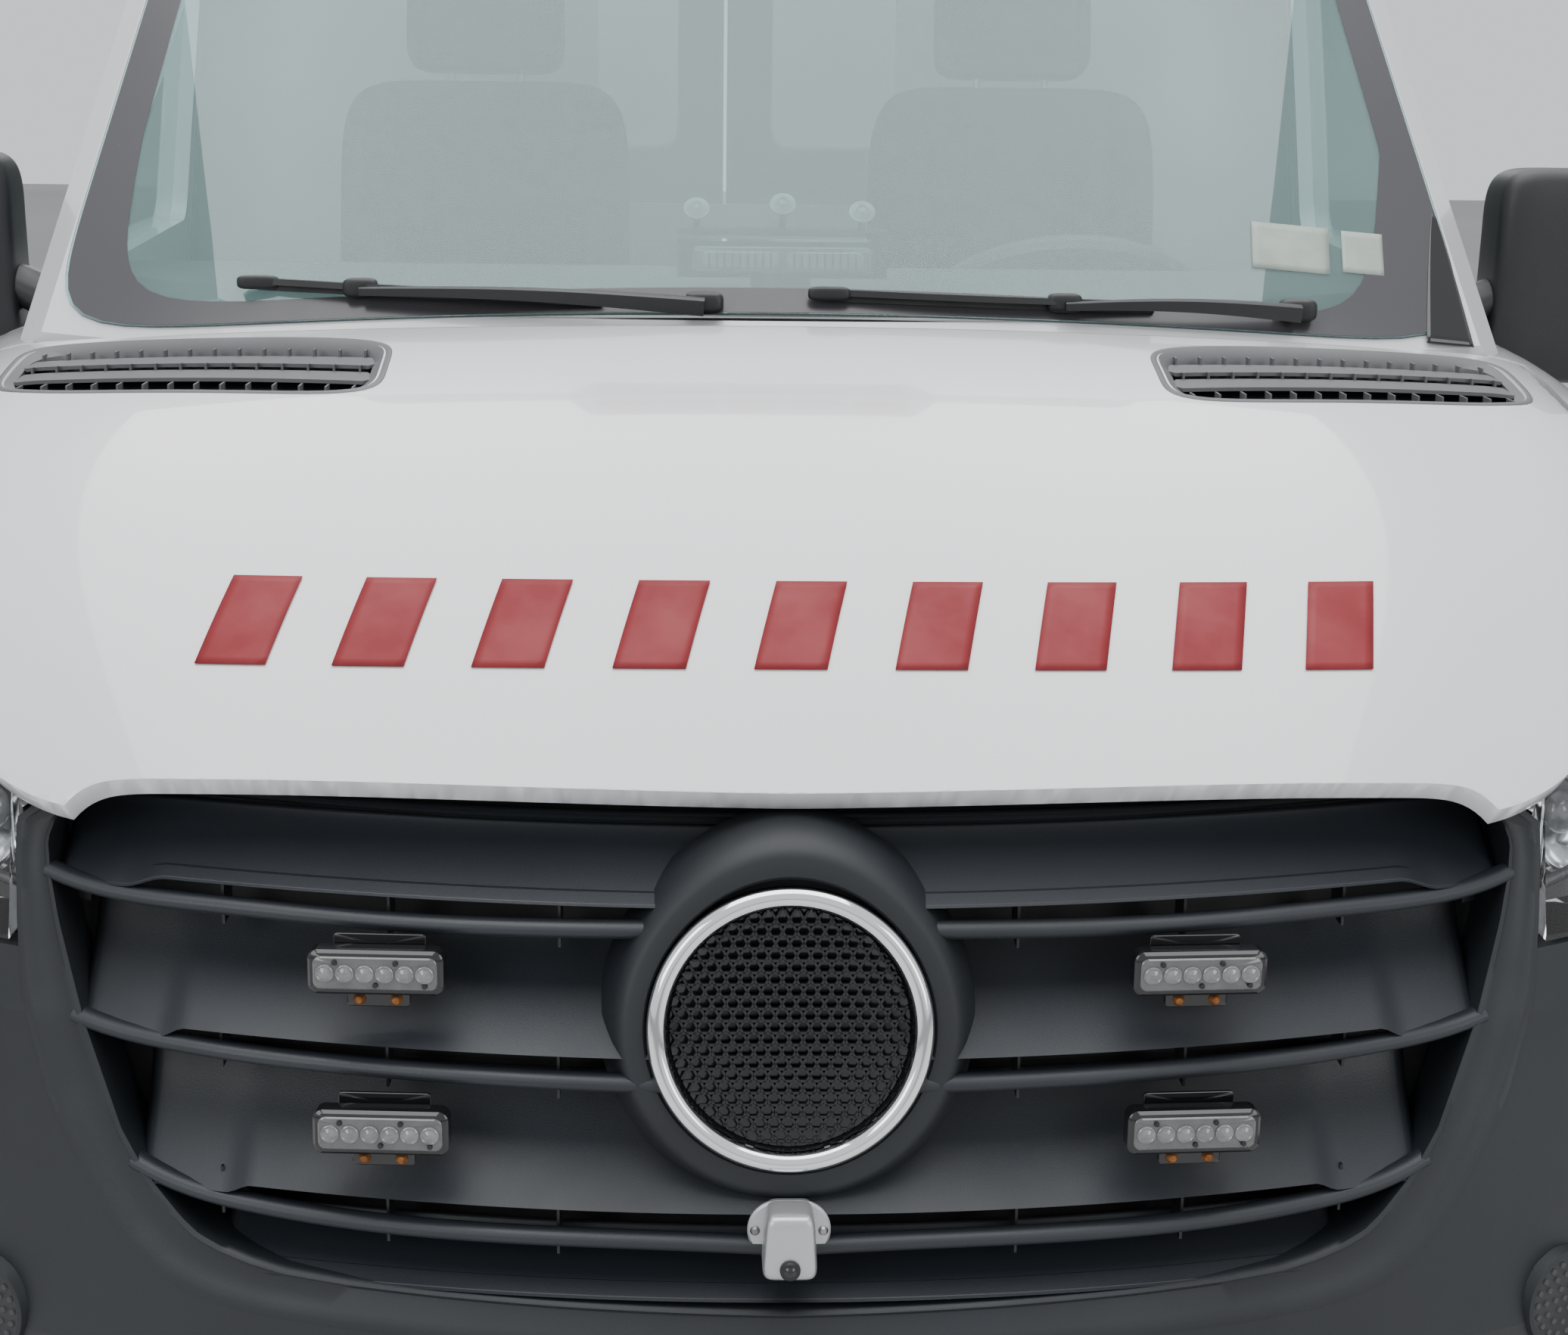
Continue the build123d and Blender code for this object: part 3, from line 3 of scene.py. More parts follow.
import bmesh
import bpy
import numpy as np
from mathutils import Matrix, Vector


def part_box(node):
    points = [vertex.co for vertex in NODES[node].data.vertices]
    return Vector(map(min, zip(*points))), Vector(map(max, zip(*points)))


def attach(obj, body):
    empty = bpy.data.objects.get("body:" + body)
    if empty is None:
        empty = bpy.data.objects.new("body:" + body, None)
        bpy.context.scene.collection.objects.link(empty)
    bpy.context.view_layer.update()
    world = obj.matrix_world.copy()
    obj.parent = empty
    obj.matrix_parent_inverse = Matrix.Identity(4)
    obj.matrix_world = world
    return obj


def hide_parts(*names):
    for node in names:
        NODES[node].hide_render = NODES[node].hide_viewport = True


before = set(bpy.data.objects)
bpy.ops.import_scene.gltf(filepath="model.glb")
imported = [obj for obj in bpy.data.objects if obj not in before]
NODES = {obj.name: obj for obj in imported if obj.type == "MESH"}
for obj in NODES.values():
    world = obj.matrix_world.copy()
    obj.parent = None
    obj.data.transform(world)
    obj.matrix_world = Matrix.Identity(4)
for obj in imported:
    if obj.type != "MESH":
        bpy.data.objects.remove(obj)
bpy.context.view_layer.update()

# Metres, +Z up, nose towards -Y. A station is a distance behind the foremost point of the bumper.
HALF_LENGTH = 2.966
SIDES = ((1, "left"), (-1, "right"))

# The body's tables, as in the part's source.
# columns: station, height on the centre line, half width of the crown, its height there, height of the
# foot
TOP_ROWS = np.array([
    (-0.060, 0.887, 0.650, 0.805, 0.640),
    (0.110, 1.066, 0.680, 0.978, 0.800),
    (0.430, 1.278, 0.760, 1.205, 0.930),
    (0.850, 1.404, 0.800, 1.352, 1.030),
    (1.150, 1.415, 0.855, 1.366, 1.085),
    (1.600, 1.416, 0.905, 1.362, 1.130),
    (2.450, 1.415, 0.968, 1.352, 1.240),
])
# columns: height, foremost station, half width at the side
NOSE_ROWS = np.array([(0.330, 0.045, 0.985), (0.560, 0.0, 1.0), (0.850, 0.042, 1.01), (1.450, 0.215, 0.99)])
BOW_HALF, BOW_DEPTH = 0.650, 0.115
# the corner of the nose ends this far inside the side, this far behind the foremost station
TURN_IN, TURN_LENGTH = 0.030, 0.515
# half width at which the shoulders reach their foot
FOOT_X = 1.1
# columns: height, station of the glass on the centre line, its half width, its bow
GLASS_ROWS = np.array([(1.250, 0.764, 0.866, 0.137), (2.250, 1.595, 0.672, 0.088)])


# Shapes

def at(x, s, z):
    """Points from their half widths, stations and heights, as one array."""
    x, s, z = np.broadcast_arrays(x, s, z)
    return np.stack([x, s - HALF_LENGTH, z], -1)


def curve(knots, values, q):
    """The cubic curve through the values at the knots: its second derivatives solve one linear system,
    with no jump of the third derivative at the first and the last inner knot."""
    h = np.diff(knots)
    rise = np.diff(values, axis=0) / h[:, None]
    n = len(knots)
    left, right = np.zeros((n, n)), np.zeros((n, values.shape[1]))
    k = np.arange(1, n - 1)
    left[k, k - 1], left[k, k], left[k, k + 1] = h[k - 1], 2 * (h[k - 1] + h[k]), h[k]
    right[k] = 6 * (rise[k] - rise[k - 1])
    left[0, :3] = h[1], -(h[0] + h[1]), h[0]
    left[-1, -3:] = h[-1], -(h[-2] + h[-1]), h[-2]
    bend = np.linalg.solve(left, right)
    i = np.clip(np.searchsorted(knots, q) - 1, 0, n - 2)
    a, b, w = (knots[i + 1] - q) / h[i], (q - knots[i]) / h[i], h[i][..., None] ** 2 / 6
    a, b = a[..., None], b[..., None]
    return a * values[i] + b * values[i + 1] + ((a**3 - a) * bend[i] + (b**3 - b) * bend[i + 1]) * w


def top_z(x, s):
    """Height of the hood and the shoulders: across, a crown arc through the middle and the crown's
    ends, and outside it an arc tangent to it down to the foot; along, each column follows the cubic
    curve through its rows."""
    x, s = np.broadcast_arrays(np.abs(x), s)
    chord = np.r_[0, np.cumsum(np.hypot(*np.diff(TOP_ROWS[:, :2], axis=0).T))]
    fine = np.linspace(0, chord[-1], 2000)
    table = curve(chord, TOP_ROWS, fine)
    middle, crown_x, crown_z, foot = (np.interp(s, table[:, 0], table[:, i]) for i in range(1, 5))
    drop = middle - crown_z
    radius = (crown_x**2 + drop**2) / (2 * drop)
    crown = middle - radius + np.sqrt(np.maximum(radius**2 - x**2, 0))
    sine, cosine = crown_x / radius, np.sqrt(1 - (crown_x / radius) ** 2)
    dx, dz = FOOT_X - crown_x, foot - crown_z
    turn = (dx**2 + dz**2) / (2 * (-sine * dx - cosine * dz))
    centre_x, centre_z = crown_x - sine * turn, crown_z - cosine * turn
    shoulder = centre_z + np.sqrt(np.maximum(turn**2 - (x - centre_x) ** 2, 0))
    return np.where(x < crown_x, crown, shoulder)


def nose_s(x, z):
    """Station of the nose: the foremost station at that height plus a bow that grows with the square of
    x."""
    return np.interp(z, NOSE_ROWS[:, 0], NOSE_ROWS[:, 1]) + BOW_DEPTH * (x / BOW_HALF) ** 2


def nose_turn(z, share):
    """Half width and station round the corner of the nose: the arc that leaves the bow's end along its
    tangent and meets the side, at a share of its angle."""
    z, share = np.broadcast_arrays(z, share)
    s0 = np.interp(z, NOSE_ROWS[:, 0], NOSE_ROWS[:, 1])
    side = np.interp(z, NOSE_ROWS[:, 0], NOSE_ROWS[:, 2])
    slope = np.arcsin(BOW_HALF / ((BOW_HALF**2 + BOW_DEPTH**2) / (2 * BOW_DEPTH)))
    ax, ay = BOW_HALF, s0 + BOW_DEPTH
    dx, dy = side - TURN_IN - ax, s0 + TURN_LENGTH - ay
    nx, ny = -np.sin(slope), np.cos(slope)
    radius = (dx**2 + dy**2) / (2 * (nx * dx + ny * dy))
    cx, cy = ax + nx * radius, ay + ny * radius
    start = np.arctan2(ay - cy, ax - cx)
    end = np.arctan2(ay + dy - cy, ax + dx - cx)
    angle = start + share * (end - start)
    return cx + radius * np.cos(angle), cy + radius * np.sin(angle)


def glass_s(x, z):
    """Station of the windscreen: its middle leans back evenly and its bow grows with the square of
    x."""
    middle, half, bow = (np.interp(z, GLASS_ROWS[:, 0], GLASS_ROWS[:, i]) for i in (1, 2, 3))
    return middle + bow * (x / half) ** 2


def mesh_piece(name, corners, faces, finish, body, slot, smooth=40, solid=True):
    """A mesh object from arrays of corners and faces, its doubles merged, its faces outwards, riding a
    body."""
    mesh = bpy.data.meshes.new(name)
    mesh.from_pydata(corners.reshape(-1, 3).tolist(), [], faces.tolist())
    work = bmesh.new()
    work.from_mesh(mesh)
    bmesh.ops.remove_doubles(work, verts=work.verts, dist=1e-6)
    if solid:
        bmesh.ops.recalc_face_normals(work, faces=work.faces)
    work.to_mesh(mesh)
    work.free()
    mesh.shade_smooth()
    mesh.set_sharp_from_angle(angle=np.radians(smooth))
    piece = bpy.data.objects.new(name, mesh)
    bpy.context.scene.collection.objects.link(piece)
    mesh.materials.append(finish)
    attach(piece, body)
    return piece


def grid_faces(count, rows, columns, around, along):
    """Quads of several grids of corners, closed round the columns or the rows if asked."""
    row = np.arange(rows if along else rows - 1)[:, None]
    column = np.arange(columns if around else columns - 1)
    next_row, next_column = (row + 1) % rows, (column + 1) % columns
    quads = (row * columns + column, row * columns + next_column,
             next_row * columns + next_column, next_row * columns + column)
    one = np.stack(quads, -1).reshape(-1, 4)
    return (one + np.arange(count)[:, None, None] * rows * columns).reshape(-1, 4)


def surface(name, grid, finish, body, slot, around=False, along=False, smooth=40, solid=True):
    """A piece made of one or several grids of corners, each an array of rows by columns by 3."""
    grid = np.asarray(grid, float)
    rows, columns = grid.shape[-3:-1]
    grid = grid.reshape(-1, rows, columns, 3)
    faces = grid_faces(len(grid), rows, columns, around, along)
    return mesh_piece(name, grid, faces, finish, body, slot, smooth, solid)


# a form whose rows go all the way round, and a ring that is closed both ways
closed = partial(surface, around=True)
hoop = partial(surface, around=True, along=True)


def placed(points, origin, x_dir=(1, 0, 0), z_dir=(0, 0, 1)):
    """Points given along x_dir, across it and along z_dir, moved to an origin."""
    z = np.array(z_dir, float) / np.linalg.norm(z_dir)
    x = np.array(x_dir, float)
    x = x - z * (x @ z)
    x /= np.linalg.norm(x)
    return np.asarray(points) @ np.stack([x, np.cross(z, x), z]) + np.asarray(origin, float)


def round_turns(count, start=0.0):
    """Even turns all the way round."""
    return (np.arange(count) + start) * 2 * np.pi / count


def squared_circle(turn, power):
    """Across and up on |x|^p + |y|^p = 1 at a turn."""
    cosine, sine = np.cos(turn), np.sin(turn)
    size = (np.abs(cosine) ** power + np.abs(sine) ** power) ** (-1 / power)
    return size * cosine, size * sine


def oval(half_x, half_y, turns):
    """Points round an oval."""
    turn = round_turns(turns)
    return np.stack([half_x * np.cos(turn), half_y * np.sin(turn)], -1)


def rounded(half_x, half_y, corner, turns):
    """Points round a rectangle with rounded corners."""
    turn = round_turns(turns, 0.5)
    x = np.sign(np.cos(turn)) * (half_x - corner) + corner * np.cos(turn)
    y = np.sign(np.sin(turn)) * (half_y - corner) + corner * np.sin(turn)
    return np.stack([x, y], -1)


def lathe(profile, turns=64):
    """A profile of (radius, height) pairs carried round the z axis."""
    profile = np.asarray(profile, float)
    angle = round_turns(turns)
    r, h = profile[:, :1], profile[:, 1:]
    return np.stack([r * np.cos(angle), r * np.sin(angle), h + 0 * angle], -1)


def pebble(half, power=0.25, rows=24, turns=48):
    """A rounded block: on an ellipsoid's angles, each sine and cosine is raised to a power that squares
    it off."""
    v = np.linspace(-np.pi / 2, np.pi / 2, rows)[:, None]
    u = round_turns(turns)

    def squared(w):
        return np.sign(w) * np.abs(w) ** power

    x = squared(np.cos(v)) * squared(np.cos(u))
    y = squared(np.cos(v)) * squared(np.sin(u))
    z = squared(np.sin(v)) + 0 * u
    return np.stack([x, y, z], -1) * np.asarray(half, float)


def plate(half_x, half_y, thick, corner, edge=0.2, turns=64):
    """A flat plate with rounded corners: rings of one rounded outline, drawn in at the edge, closed at
    the middle."""
    outline = rounded(half_x, half_y, corner, turns)
    roll = edge * thick
    inner = outline * (1 - roll / np.array([half_x, half_y]))
    low, high = np.zeros((turns, 1)), np.full((turns, 1), thick)
    rings = [0 * np.c_[outline, low], np.c_[inner, low], np.c_[outline, low + roll],
             np.c_[outline, high - roll], np.c_[inner, high], np.c_[0 * outline, high]]
    return np.stack(rings)


def tube(path, radius, turns=12, section=None, up=(0, 0, 1)):
    """A section carried along a path: at each point it stands square to the path's direction."""
    path = np.asarray(path, float)
    ahead = np.gradient(path, axis=0)
    ahead /= np.linalg.norm(ahead, axis=1, keepdims=True)
    side = np.cross(ahead, np.asarray(up, float))
    side /= np.linalg.norm(side, axis=1, keepdims=True)
    over = np.cross(side, ahead)
    section = oval(1, 1, turns) if section is None else np.asarray(section, float)
    radius = np.broadcast_to(np.asarray(radius, float), len(path))[:, None, None]
    rings = path[:, None] + radius * (section[:, :1] * side[:, None] + section[:, 1:] * over[:, None])
    first, last = (end[None].repeat(len(section), 1) for end in (path[:1], path[-1:]))
    return np.concatenate([first, rings, last])


def boxes(centres, halves):
    """Corners and faces of many boxes, each from its centre and its three half axes."""
    signs = np.array([(a, b, c) for a in (-1, 1) for b in (-1, 1) for c in (-1, 1)], float)
    corners = centres[:, None] + np.einsum("kc,ncd->nkd", signs, halves)
    one = np.array([(0, 1, 3, 2), (4, 6, 7, 5), (0, 4, 5, 1), (2, 3, 7, 6), (0, 2, 6, 4), (1, 5, 7, 3)])
    return corners, (one + np.arange(len(centres))[:, None, None] * 8).reshape(-1, 4)


def thicken(piece, thickness, bevel=0.0):
    """Gives a sheet its wall inwards, and rounds the wall's edges."""
    wall = piece.modifiers.new("wall", "SOLIDIFY")
    wall.thickness = thickness
    wall.offset = -1
    if bevel:
        roll = piece.modifiers.new("roll", "BEVEL")
        roll.width = bevel
        roll.segments = 3
        roll.limit_method = "ANGLE"
        roll.angle_limit = np.radians(50)
    return piece


def flip(points):
    """The same points on the other side."""
    return points * (-1, 1, 1)


def both(grids):
    """Several grids of corners, and then the same ones on the other side."""
    return [*grids, *map(flip, grids)]


def sheet(name, grid, finish, body, slot, wall, roll=0.0, **how):
    """A piece made of open grids of corners, with a wall."""
    return thicken(surface(name, grid, finish, body, slot, solid=False, **how), wall, roll)


# Finishes

def blank(name):
    """An empty node material with its shader, object coordinates and a way to add and link nodes."""
    material = bpy.data.materials.new(name)
    material.use_nodes = True
    tree = material.node_tree
    shader = tree.nodes["Principled BSDF"]
    coords = tree.nodes.new("ShaderNodeTexCoord")
    return material, tree, shader, coords.outputs["Object"]


def noise(tree, coords, scale, detail=4.0):
    """A noise texture on a piece's own coordinates."""
    node = tree.nodes.new("ShaderNodeTexNoise")
    node.inputs["Scale"].default_value = scale
    node.inputs["Detail"].default_value = detail
    node.inputs["Roughness"].default_value = 0.55
    tree.links.new(coords, node.inputs["Vector"])
    return node.outputs["Fac"]


def spread(tree, value, low, high, start=0.35, end=0.65):
    """A value stretched from one range to another."""
    node = tree.nodes.new("ShaderNodeMapRange")
    for name, number in (("From Min", start), ("From Max", end), ("To Min", low), ("To Max", high)):
        node.inputs[name].default_value = number
    tree.links.new(value, node.inputs["Value"])
    return node.outputs["Result"]


def blend(tree, share, first, second):
    """A colour between two, by a share."""
    node = tree.nodes.new("ShaderNodeMix")
    node.data_type = "RGBA"
    tree.links.new(share, node.inputs[0])
    for index, colour in ((6, first), (7, second)):
        if isinstance(colour, tuple):
            node.inputs[index].default_value = (*colour, 1)
        else:
            tree.links.new(colour, node.inputs[index])
    return node.outputs[2]


def relief(tree, shader, height, depth):
    """Bumps a surface by a height."""
    node = tree.nodes.new("ShaderNodeBump")
    node.inputs["Distance"].default_value = depth
    node.inputs["Strength"].default_value = 1.0
    tree.links.new(height, node.inputs["Height"])
    tree.links.new(node.outputs["Normal"], shader.inputs["Normal"])


def plain(name, light, dark, rough, metal=0.0, coat=0.0, patch=3.0, grain=0.0, depth=0.0002,
          rough_spread=0.08):
    """A finish whose colour and roughness drift a little over the piece, with an optional fine
    grain."""
    material, tree, shader, coords = blank(name)
    drift = noise(tree, coords, patch)
    tree.links.new(blend(tree, spread(tree, drift, 0, 1), dark, light), shader.inputs["Base Color"])
    tree.links.new(spread(tree, drift, rough + rough_spread, rough - rough_spread), shader.inputs["Roughness"])
    shader.inputs["Metallic"].default_value = metal
    shader.inputs["Coat Weight"].default_value = coat
    shader.inputs["Coat Roughness"].default_value = 0.04
    if grain:
        relief(tree, shader, noise(tree, coords, grain, 2.0), depth)
    return material


ROAD_FILM = (0.36, 0.34, 0.30)


def paint(name, light, dark):
    """Glossy clear-coated paint, with road film that thickens towards the sills."""
    material, tree, shader, coords = blank(name)
    split = tree.nodes.new("ShaderNodeSeparateXYZ")
    tree.links.new(coords, split.inputs[0])
    low = spread(tree, split.outputs["Z"], 1, 0, 0.3, 1.1)
    patches = noise(tree, coords, 2.2, 6.0)
    product = tree.nodes.new("ShaderNodeMath")
    product.operation = "MULTIPLY"
    tree.links.new(low, product.inputs[0])
    tree.links.new(spread(tree, patches, 0, 0.55, 0.4, 0.75), product.inputs[1])
    film = product.outputs[0]
    drift = blend(tree, spread(tree, noise(tree, coords, 1.2), 0, 1), dark, light)
    tree.links.new(blend(tree, film, drift, ROAD_FILM), shader.inputs["Base Color"])
    tree.links.new(spread(tree, film, 0.22, 0.5, 0, 0.6), shader.inputs["Roughness"])
    shader.inputs["Coat Weight"].default_value = 0.8
    shader.inputs["Coat Roughness"].default_value = 0.03
    relief(tree, shader, noise(tree, coords, 30.0, 1.0), 0.00003)
    return material


def glass(name, colour, through, rough):
    """Clear or tinted glass."""
    material, tree, shader, coords = blank(name)
    drift = noise(tree, coords, 2.0)
    darker = tuple(0.93 * c for c in colour)
    tree.links.new(blend(tree, spread(tree, drift, 0, 1), darker, colour), shader.inputs["Base Color"])
    shader.inputs["Roughness"].default_value = rough
    shader.inputs["Transmission Weight"].default_value = through
    shader.inputs["IOR"].default_value = 1.5
    return material


# columns: name, light and dark colour, roughness
white_paint = paint("white_paint", (0.80, 0.81, 0.835), (0.76, 0.77, 0.80))
dark_moulding = plain("grained_dark_moulding", (0.0200, 0.0240, 0.0300), (0.0145, 0.0175, 0.0225), 0.47,
                      grain=900)
bumper_moulding = plain("bumper_moulding", (0.0125, 0.0155, 0.0195), (0.0090, 0.0112, 0.0145), 0.52,
                        grain=900)
black_trim = plain("black_trim", (0.0135, 0.0150, 0.0175), (0.0095, 0.0105, 0.0125), 0.45, grain=700)
black_gloss = plain("black_gloss", (0.012, 0.012, 0.014), (0.008, 0.008, 0.010), 0.12, coat=0.3,
                    rough_spread=0.04)
grey_moulding = plain("grey_moulding", (0.125, 0.128, 0.136), (0.100, 0.103, 0.111), 0.55, grain=700)
frit = plain("printed_black_band", (0.075, 0.074, 0.082), (0.064, 0.063, 0.070), 0.25, patch=4,
             rough_spread=0.05)
rubber = plain("black_rubber", (0.020, 0.020, 0.021), (0.012, 0.012, 0.013), 0.62, patch=9, grain=260,
               depth=0.0004)
tyre_rubber = plain("tyre_rubber", (0.035, 0.034, 0.033), (0.017, 0.017, 0.017), 0.72, patch=7, grain=180,
                    depth=0.0005)
chrome = plain("bright_chrome", (0.86, 0.87, 0.89), (0.80, 0.81, 0.83), 0.07, metal=1.0, rough_spread=0.03)
silver = plain("satin_silver", (0.56, 0.57, 0.59), (0.48, 0.49, 0.51), 0.33, metal=0.6, grain=500)
steel = plain("bare_steel", (0.38, 0.38, 0.39), (0.25, 0.24, 0.24), 0.38, metal=1.0, patch=14)
cast = plain("dark_casting", (0.075, 0.074, 0.073), (0.040, 0.038, 0.037), 0.6, metal=0.3, patch=12,
             grain=220, depth=0.0006)
chassis_black = plain("chassis_black", (0.030, 0.030, 0.032), (0.016, 0.016, 0.017), 0.5, patch=5, grain=90)
wheel_silver = plain("wheel_silver", (0.42, 0.43, 0.45), (0.30, 0.30, 0.31), 0.36, metal=0.5, patch=8)
red_film = plain("red_film", (0.270, 0.028, 0.034), (0.235, 0.022, 0.028), 0.55, patch=16)
red_film.node_tree.nodes["Principled BSDF"].inputs["Specular IOR Level"].default_value = 0.25
rust = plain("rusty_screw", (0.36, 0.15, 0.04), (0.16, 0.06, 0.02), 0.55, metal=0.5, patch=160, grain=900)
dash = plain("dash_moulding", (0.105, 0.115, 0.115), (0.080, 0.088, 0.088), 0.62, grain=500)
cloth = plain("seat_cloth", (0.050, 0.052, 0.056), (0.030, 0.031, 0.034), 0.85, patch=30, grain=120,
              depth=0.0001)
floor_sheet = plain("floor_sheet", (0.34, 0.36, 0.38), (0.27, 0.29, 0.31), 0.55, grain=300)
cabinet_white = plain("cabinet_white", (0.66, 0.68, 0.66), (0.58, 0.60, 0.58), 0.35)
paper = plain("pale_label", (0.40, 0.46, 0.42), (0.34, 0.40, 0.36), 0.5, patch=30)
lens_red = plain("red_lens", (0.42, 0.012, 0.015), (0.30, 0.008, 0.010), 0.16, coat=0.6, rough_spread=0.05)
lens_amber = plain("amber_lens", (0.60, 0.20, 0.01), (0.46, 0.13, 0.01), 0.18, coat=0.6, rough_spread=0.05)
reflector = plain("lamp_reflector", (0.80, 0.81, 0.83), (0.70, 0.71, 0.73), 0.12, metal=1.0, patch=20,
                  rough_spread=0.05)
screen_glass = glass("screen_glass", (0.50, 0.71, 0.71), 0.90, 0.0)
side_glass = glass("side_glass", (0.42, 0.52, 0.50), 0.95, 0.0)
milk_glass = glass("frosted_glass", (0.66, 0.72, 0.74), 0.45, 0.35)
led_face = plain("fluted_led_window", (0.115, 0.118, 0.124), (0.085, 0.088, 0.094), 0.22, coat=1.0, patch=60)
led_cell = plain("led_lens", (0.235, 0.240, 0.250), (0.160, 0.165, 0.175), 0.10, coat=1.0, patch=90,
                 rough_spread=0.03)
clear_lens = glass("clear_lens", (0.93, 0.95, 0.96), 1.0, 0.03)


# The solids that stay as they are

# columns: finish and the nodes that take it
DRESS = [
    (white_paint, "cab_frame fenders side_left side_right sliding_door roof rear_frame lamp_housing hood "
                  "front_door_left front_door_right rear_door_left rear_door_right"),
    (chassis_black, "bulkhead chassis_frame front_suspension radiator"),
    (bumper_moulding, "front_bumper grille"),
    (grey_moulding, "hood_vents"),
    (black_trim, "wheelhouses cowl side_mouldings rear_bumper fuel_tank side_mirror_left side_mirror_right"),
    (screen_glass, "windscreen"),
    (side_glass, "front_door_glass_left front_door_glass_right"),
    (milk_glass, "side_glass rear_door_glass_left rear_door_glass_right"),
    (clear_lens, "headlamps"),
    (black_gloss, "grille_lamps warning_lamps dash_lamp"),
    (lens_red, "tail_lamps"),
    (chrome, "badge"),
    (silver, "front_camera"),
    (steel, "leaf_springs exhaust"),
    (cast, "engine rear_axle knuckle_left knuckle_right"),
    (wheel_silver, "rim_front_left rim_front_right rim_rear_left rim_rear_right"),
    (tyre_rubber, "tyre_front_left tyre_front_right tyre_rear_left tyre_rear_right"),
    (dash, "dashboard steering_wheel"),
    (cloth, "seats"),
    (floor_sheet, "floor"),
    (cabinet_white, "partition cabinets"),
]
for finish, names in DRESS:
    for name in names.split():
        NODES[name].data.materials.clear()
        NODES[name].data.materials.append(finish)
        if finish in (side_glass, milk_glass):
            NODES[name].visible_shadow = NODES[name].visible_diffuse = False


# Hood

# half width and station of the tip between grille and lamp; half width, station and bow of the rear
# edge
TIP_X, TIP_S = 0.637, 0.169
REAR_X, REAR_S, REAR_BOW = 0.895, 0.835, 0.165
# columns: half width and station of the hood's front edge
HOOD_FRONT = np.array([(0, 0.1155), (0.160, 0.1225), (0.320, 0.1390), (0.480, 0.1625), (0.560, 0.1760),
                       (0.595, 0.1812), (0.617, 0.1805), (0.630, 0.1750), (TIP_X, TIP_S)])
# columns: share of the length, half width and station of the hood's side edge
HOOD_SIDE = np.array([(0, TIP_X, TIP_S), (0.076, 0.700, 0.204), (0.262, 0.806, 0.335),
                      (0.481, 0.888, 0.520), (0.740, 0.893, 0.760), (1.0, REAR_X, 1.0)])
HOOD_WALL = 0.024

# columns: station at a half width, that half width and the lean, for a vent's front edge and its rear
# edge
VENT_EDGES = ((0.648, 0.432, 0.2727), (0.826, 0.440, 0.3147))
VENT_X, VENT_HALF, VENT_DEEP = 0.630, 0.218, 0.090
VENT_POWER = 5
# share of a vent's outline at which the skin is cut
VENT_CUT = 0.965
# columns: how far a row of the rim is drawn in, and its lift off the hood
VENT_RIM = [(-0.002, -0.001), (-0.001, 0.0010), (0.004, 0.0012), (0.008, -0.002), (0.018, -0.007),
            (0.020, -0.018), (0.006, -0.018)]
# columns: a row's place from front to rear, half length of its ribs, their depth
VENT_RIBS = ((-0.63, 0.013, 0.0130), (0.01, 0.004, 0.0115), (0.60, 0.008, 0.0120))


def hood_outline(u, v):
    """The hood seen from above: a patch between four curves, its rows blended from the front and the
    rear edge and its columns from the two sides, less the blend of the four corners."""
    front_s = curve(HOOD_FRONT[:, 0], HOOD_FRONT[:, 1:], np.abs(TIP_X * u))[..., 0]
    front = np.stack([TIP_X * u, front_s], -1)
    rear = np.stack([REAR_X * u, REAR_S + REAR_BOW * u**2], -1)
    side = curve(HOOD_SIDE[:, 0], HOOD_SIDE[:, 1:], v)
    w = (u + 1) / 2
    across = (1 - v)[..., None] * front + v[..., None] * rear
    along = (1 - w)[..., None] * (side * (-1, 1)) + w[..., None] * side
    corner_x = ((1 - v) * TIP_X + v * REAR_X) * u
    corner_s = (1 - v) * TIP_S + v * (REAR_S + REAR_BOW)
    return across + along - np.stack([corner_x, corner_s], -1)


def on_hood(x, s, lift=0.0):
    """Points on the hood's skin at given half widths and stations, or lifted off it."""
    return at(x, s, top_z(x, s) + lift)


def vent_edges(x):
    """Stations of a vent's front and rear edge, which lean back outwards."""
    return [station + lean * (x - middle) for station, middle, lean in VENT_EDGES]


def vent_plan(a, b):
    """Half width and station in an air vent: a runs outwards and b rearwards, each from -1 to 1, over a
    leaning four-sided plan."""
    x = VENT_X + VENT_HALF * a
    front, rear = vent_edges(x)
    return x, front + (b + 1) / 2 * (rear - front)


def vent_share(x, s):
    """A point's a and b in a vent, and its share of the way out to the squared circle |a|^5 + |b|^5 =
    1."""
    front, rear = vent_edges(x)
    a, b = (x - VENT_X) / VENT_HALF, 2 * (s - front) / (rear - front) - 1
    return a, b, (np.abs(a) ** VENT_POWER + np.abs(b) ** VENT_POWER) ** (1 / VENT_POWER)


def hood_skin(rows=150, columns=260):
    """Corners and faces of the hood with its vents cut out: a face inside a vent's outline goes, and
    the inner corners of a face that straddles the outline move onto it."""
    v, u = np.meshgrid(np.linspace(0, 1, rows), np.linspace(-1, 1, columns), indexing="ij")
    corners = on_hood(*np.moveaxis(hood_outline(u, v), -1, 0)).reshape(-1, 3)
    faces = grid_faces(1, rows, columns, False, False)
    a, b, share = vent_share(np.abs(corners[:, 0]), corners[:, 1] + HALF_LENGTH)
    within = share < VENT_CUT
    inside = within[faces]
    moved = np.unique(faces[inside.any(1) & ~inside.all(1)])
    moved = moved[within[moved]]
    x, s = vent_plan(a[moved] * VENT_CUT / share[moved], b[moved] * VENT_CUT / share[moved])
    corners[moved] = on_hood(x * np.sign(corners[moved, 0]), s)
    return corners, faces[~inside.all(1)]


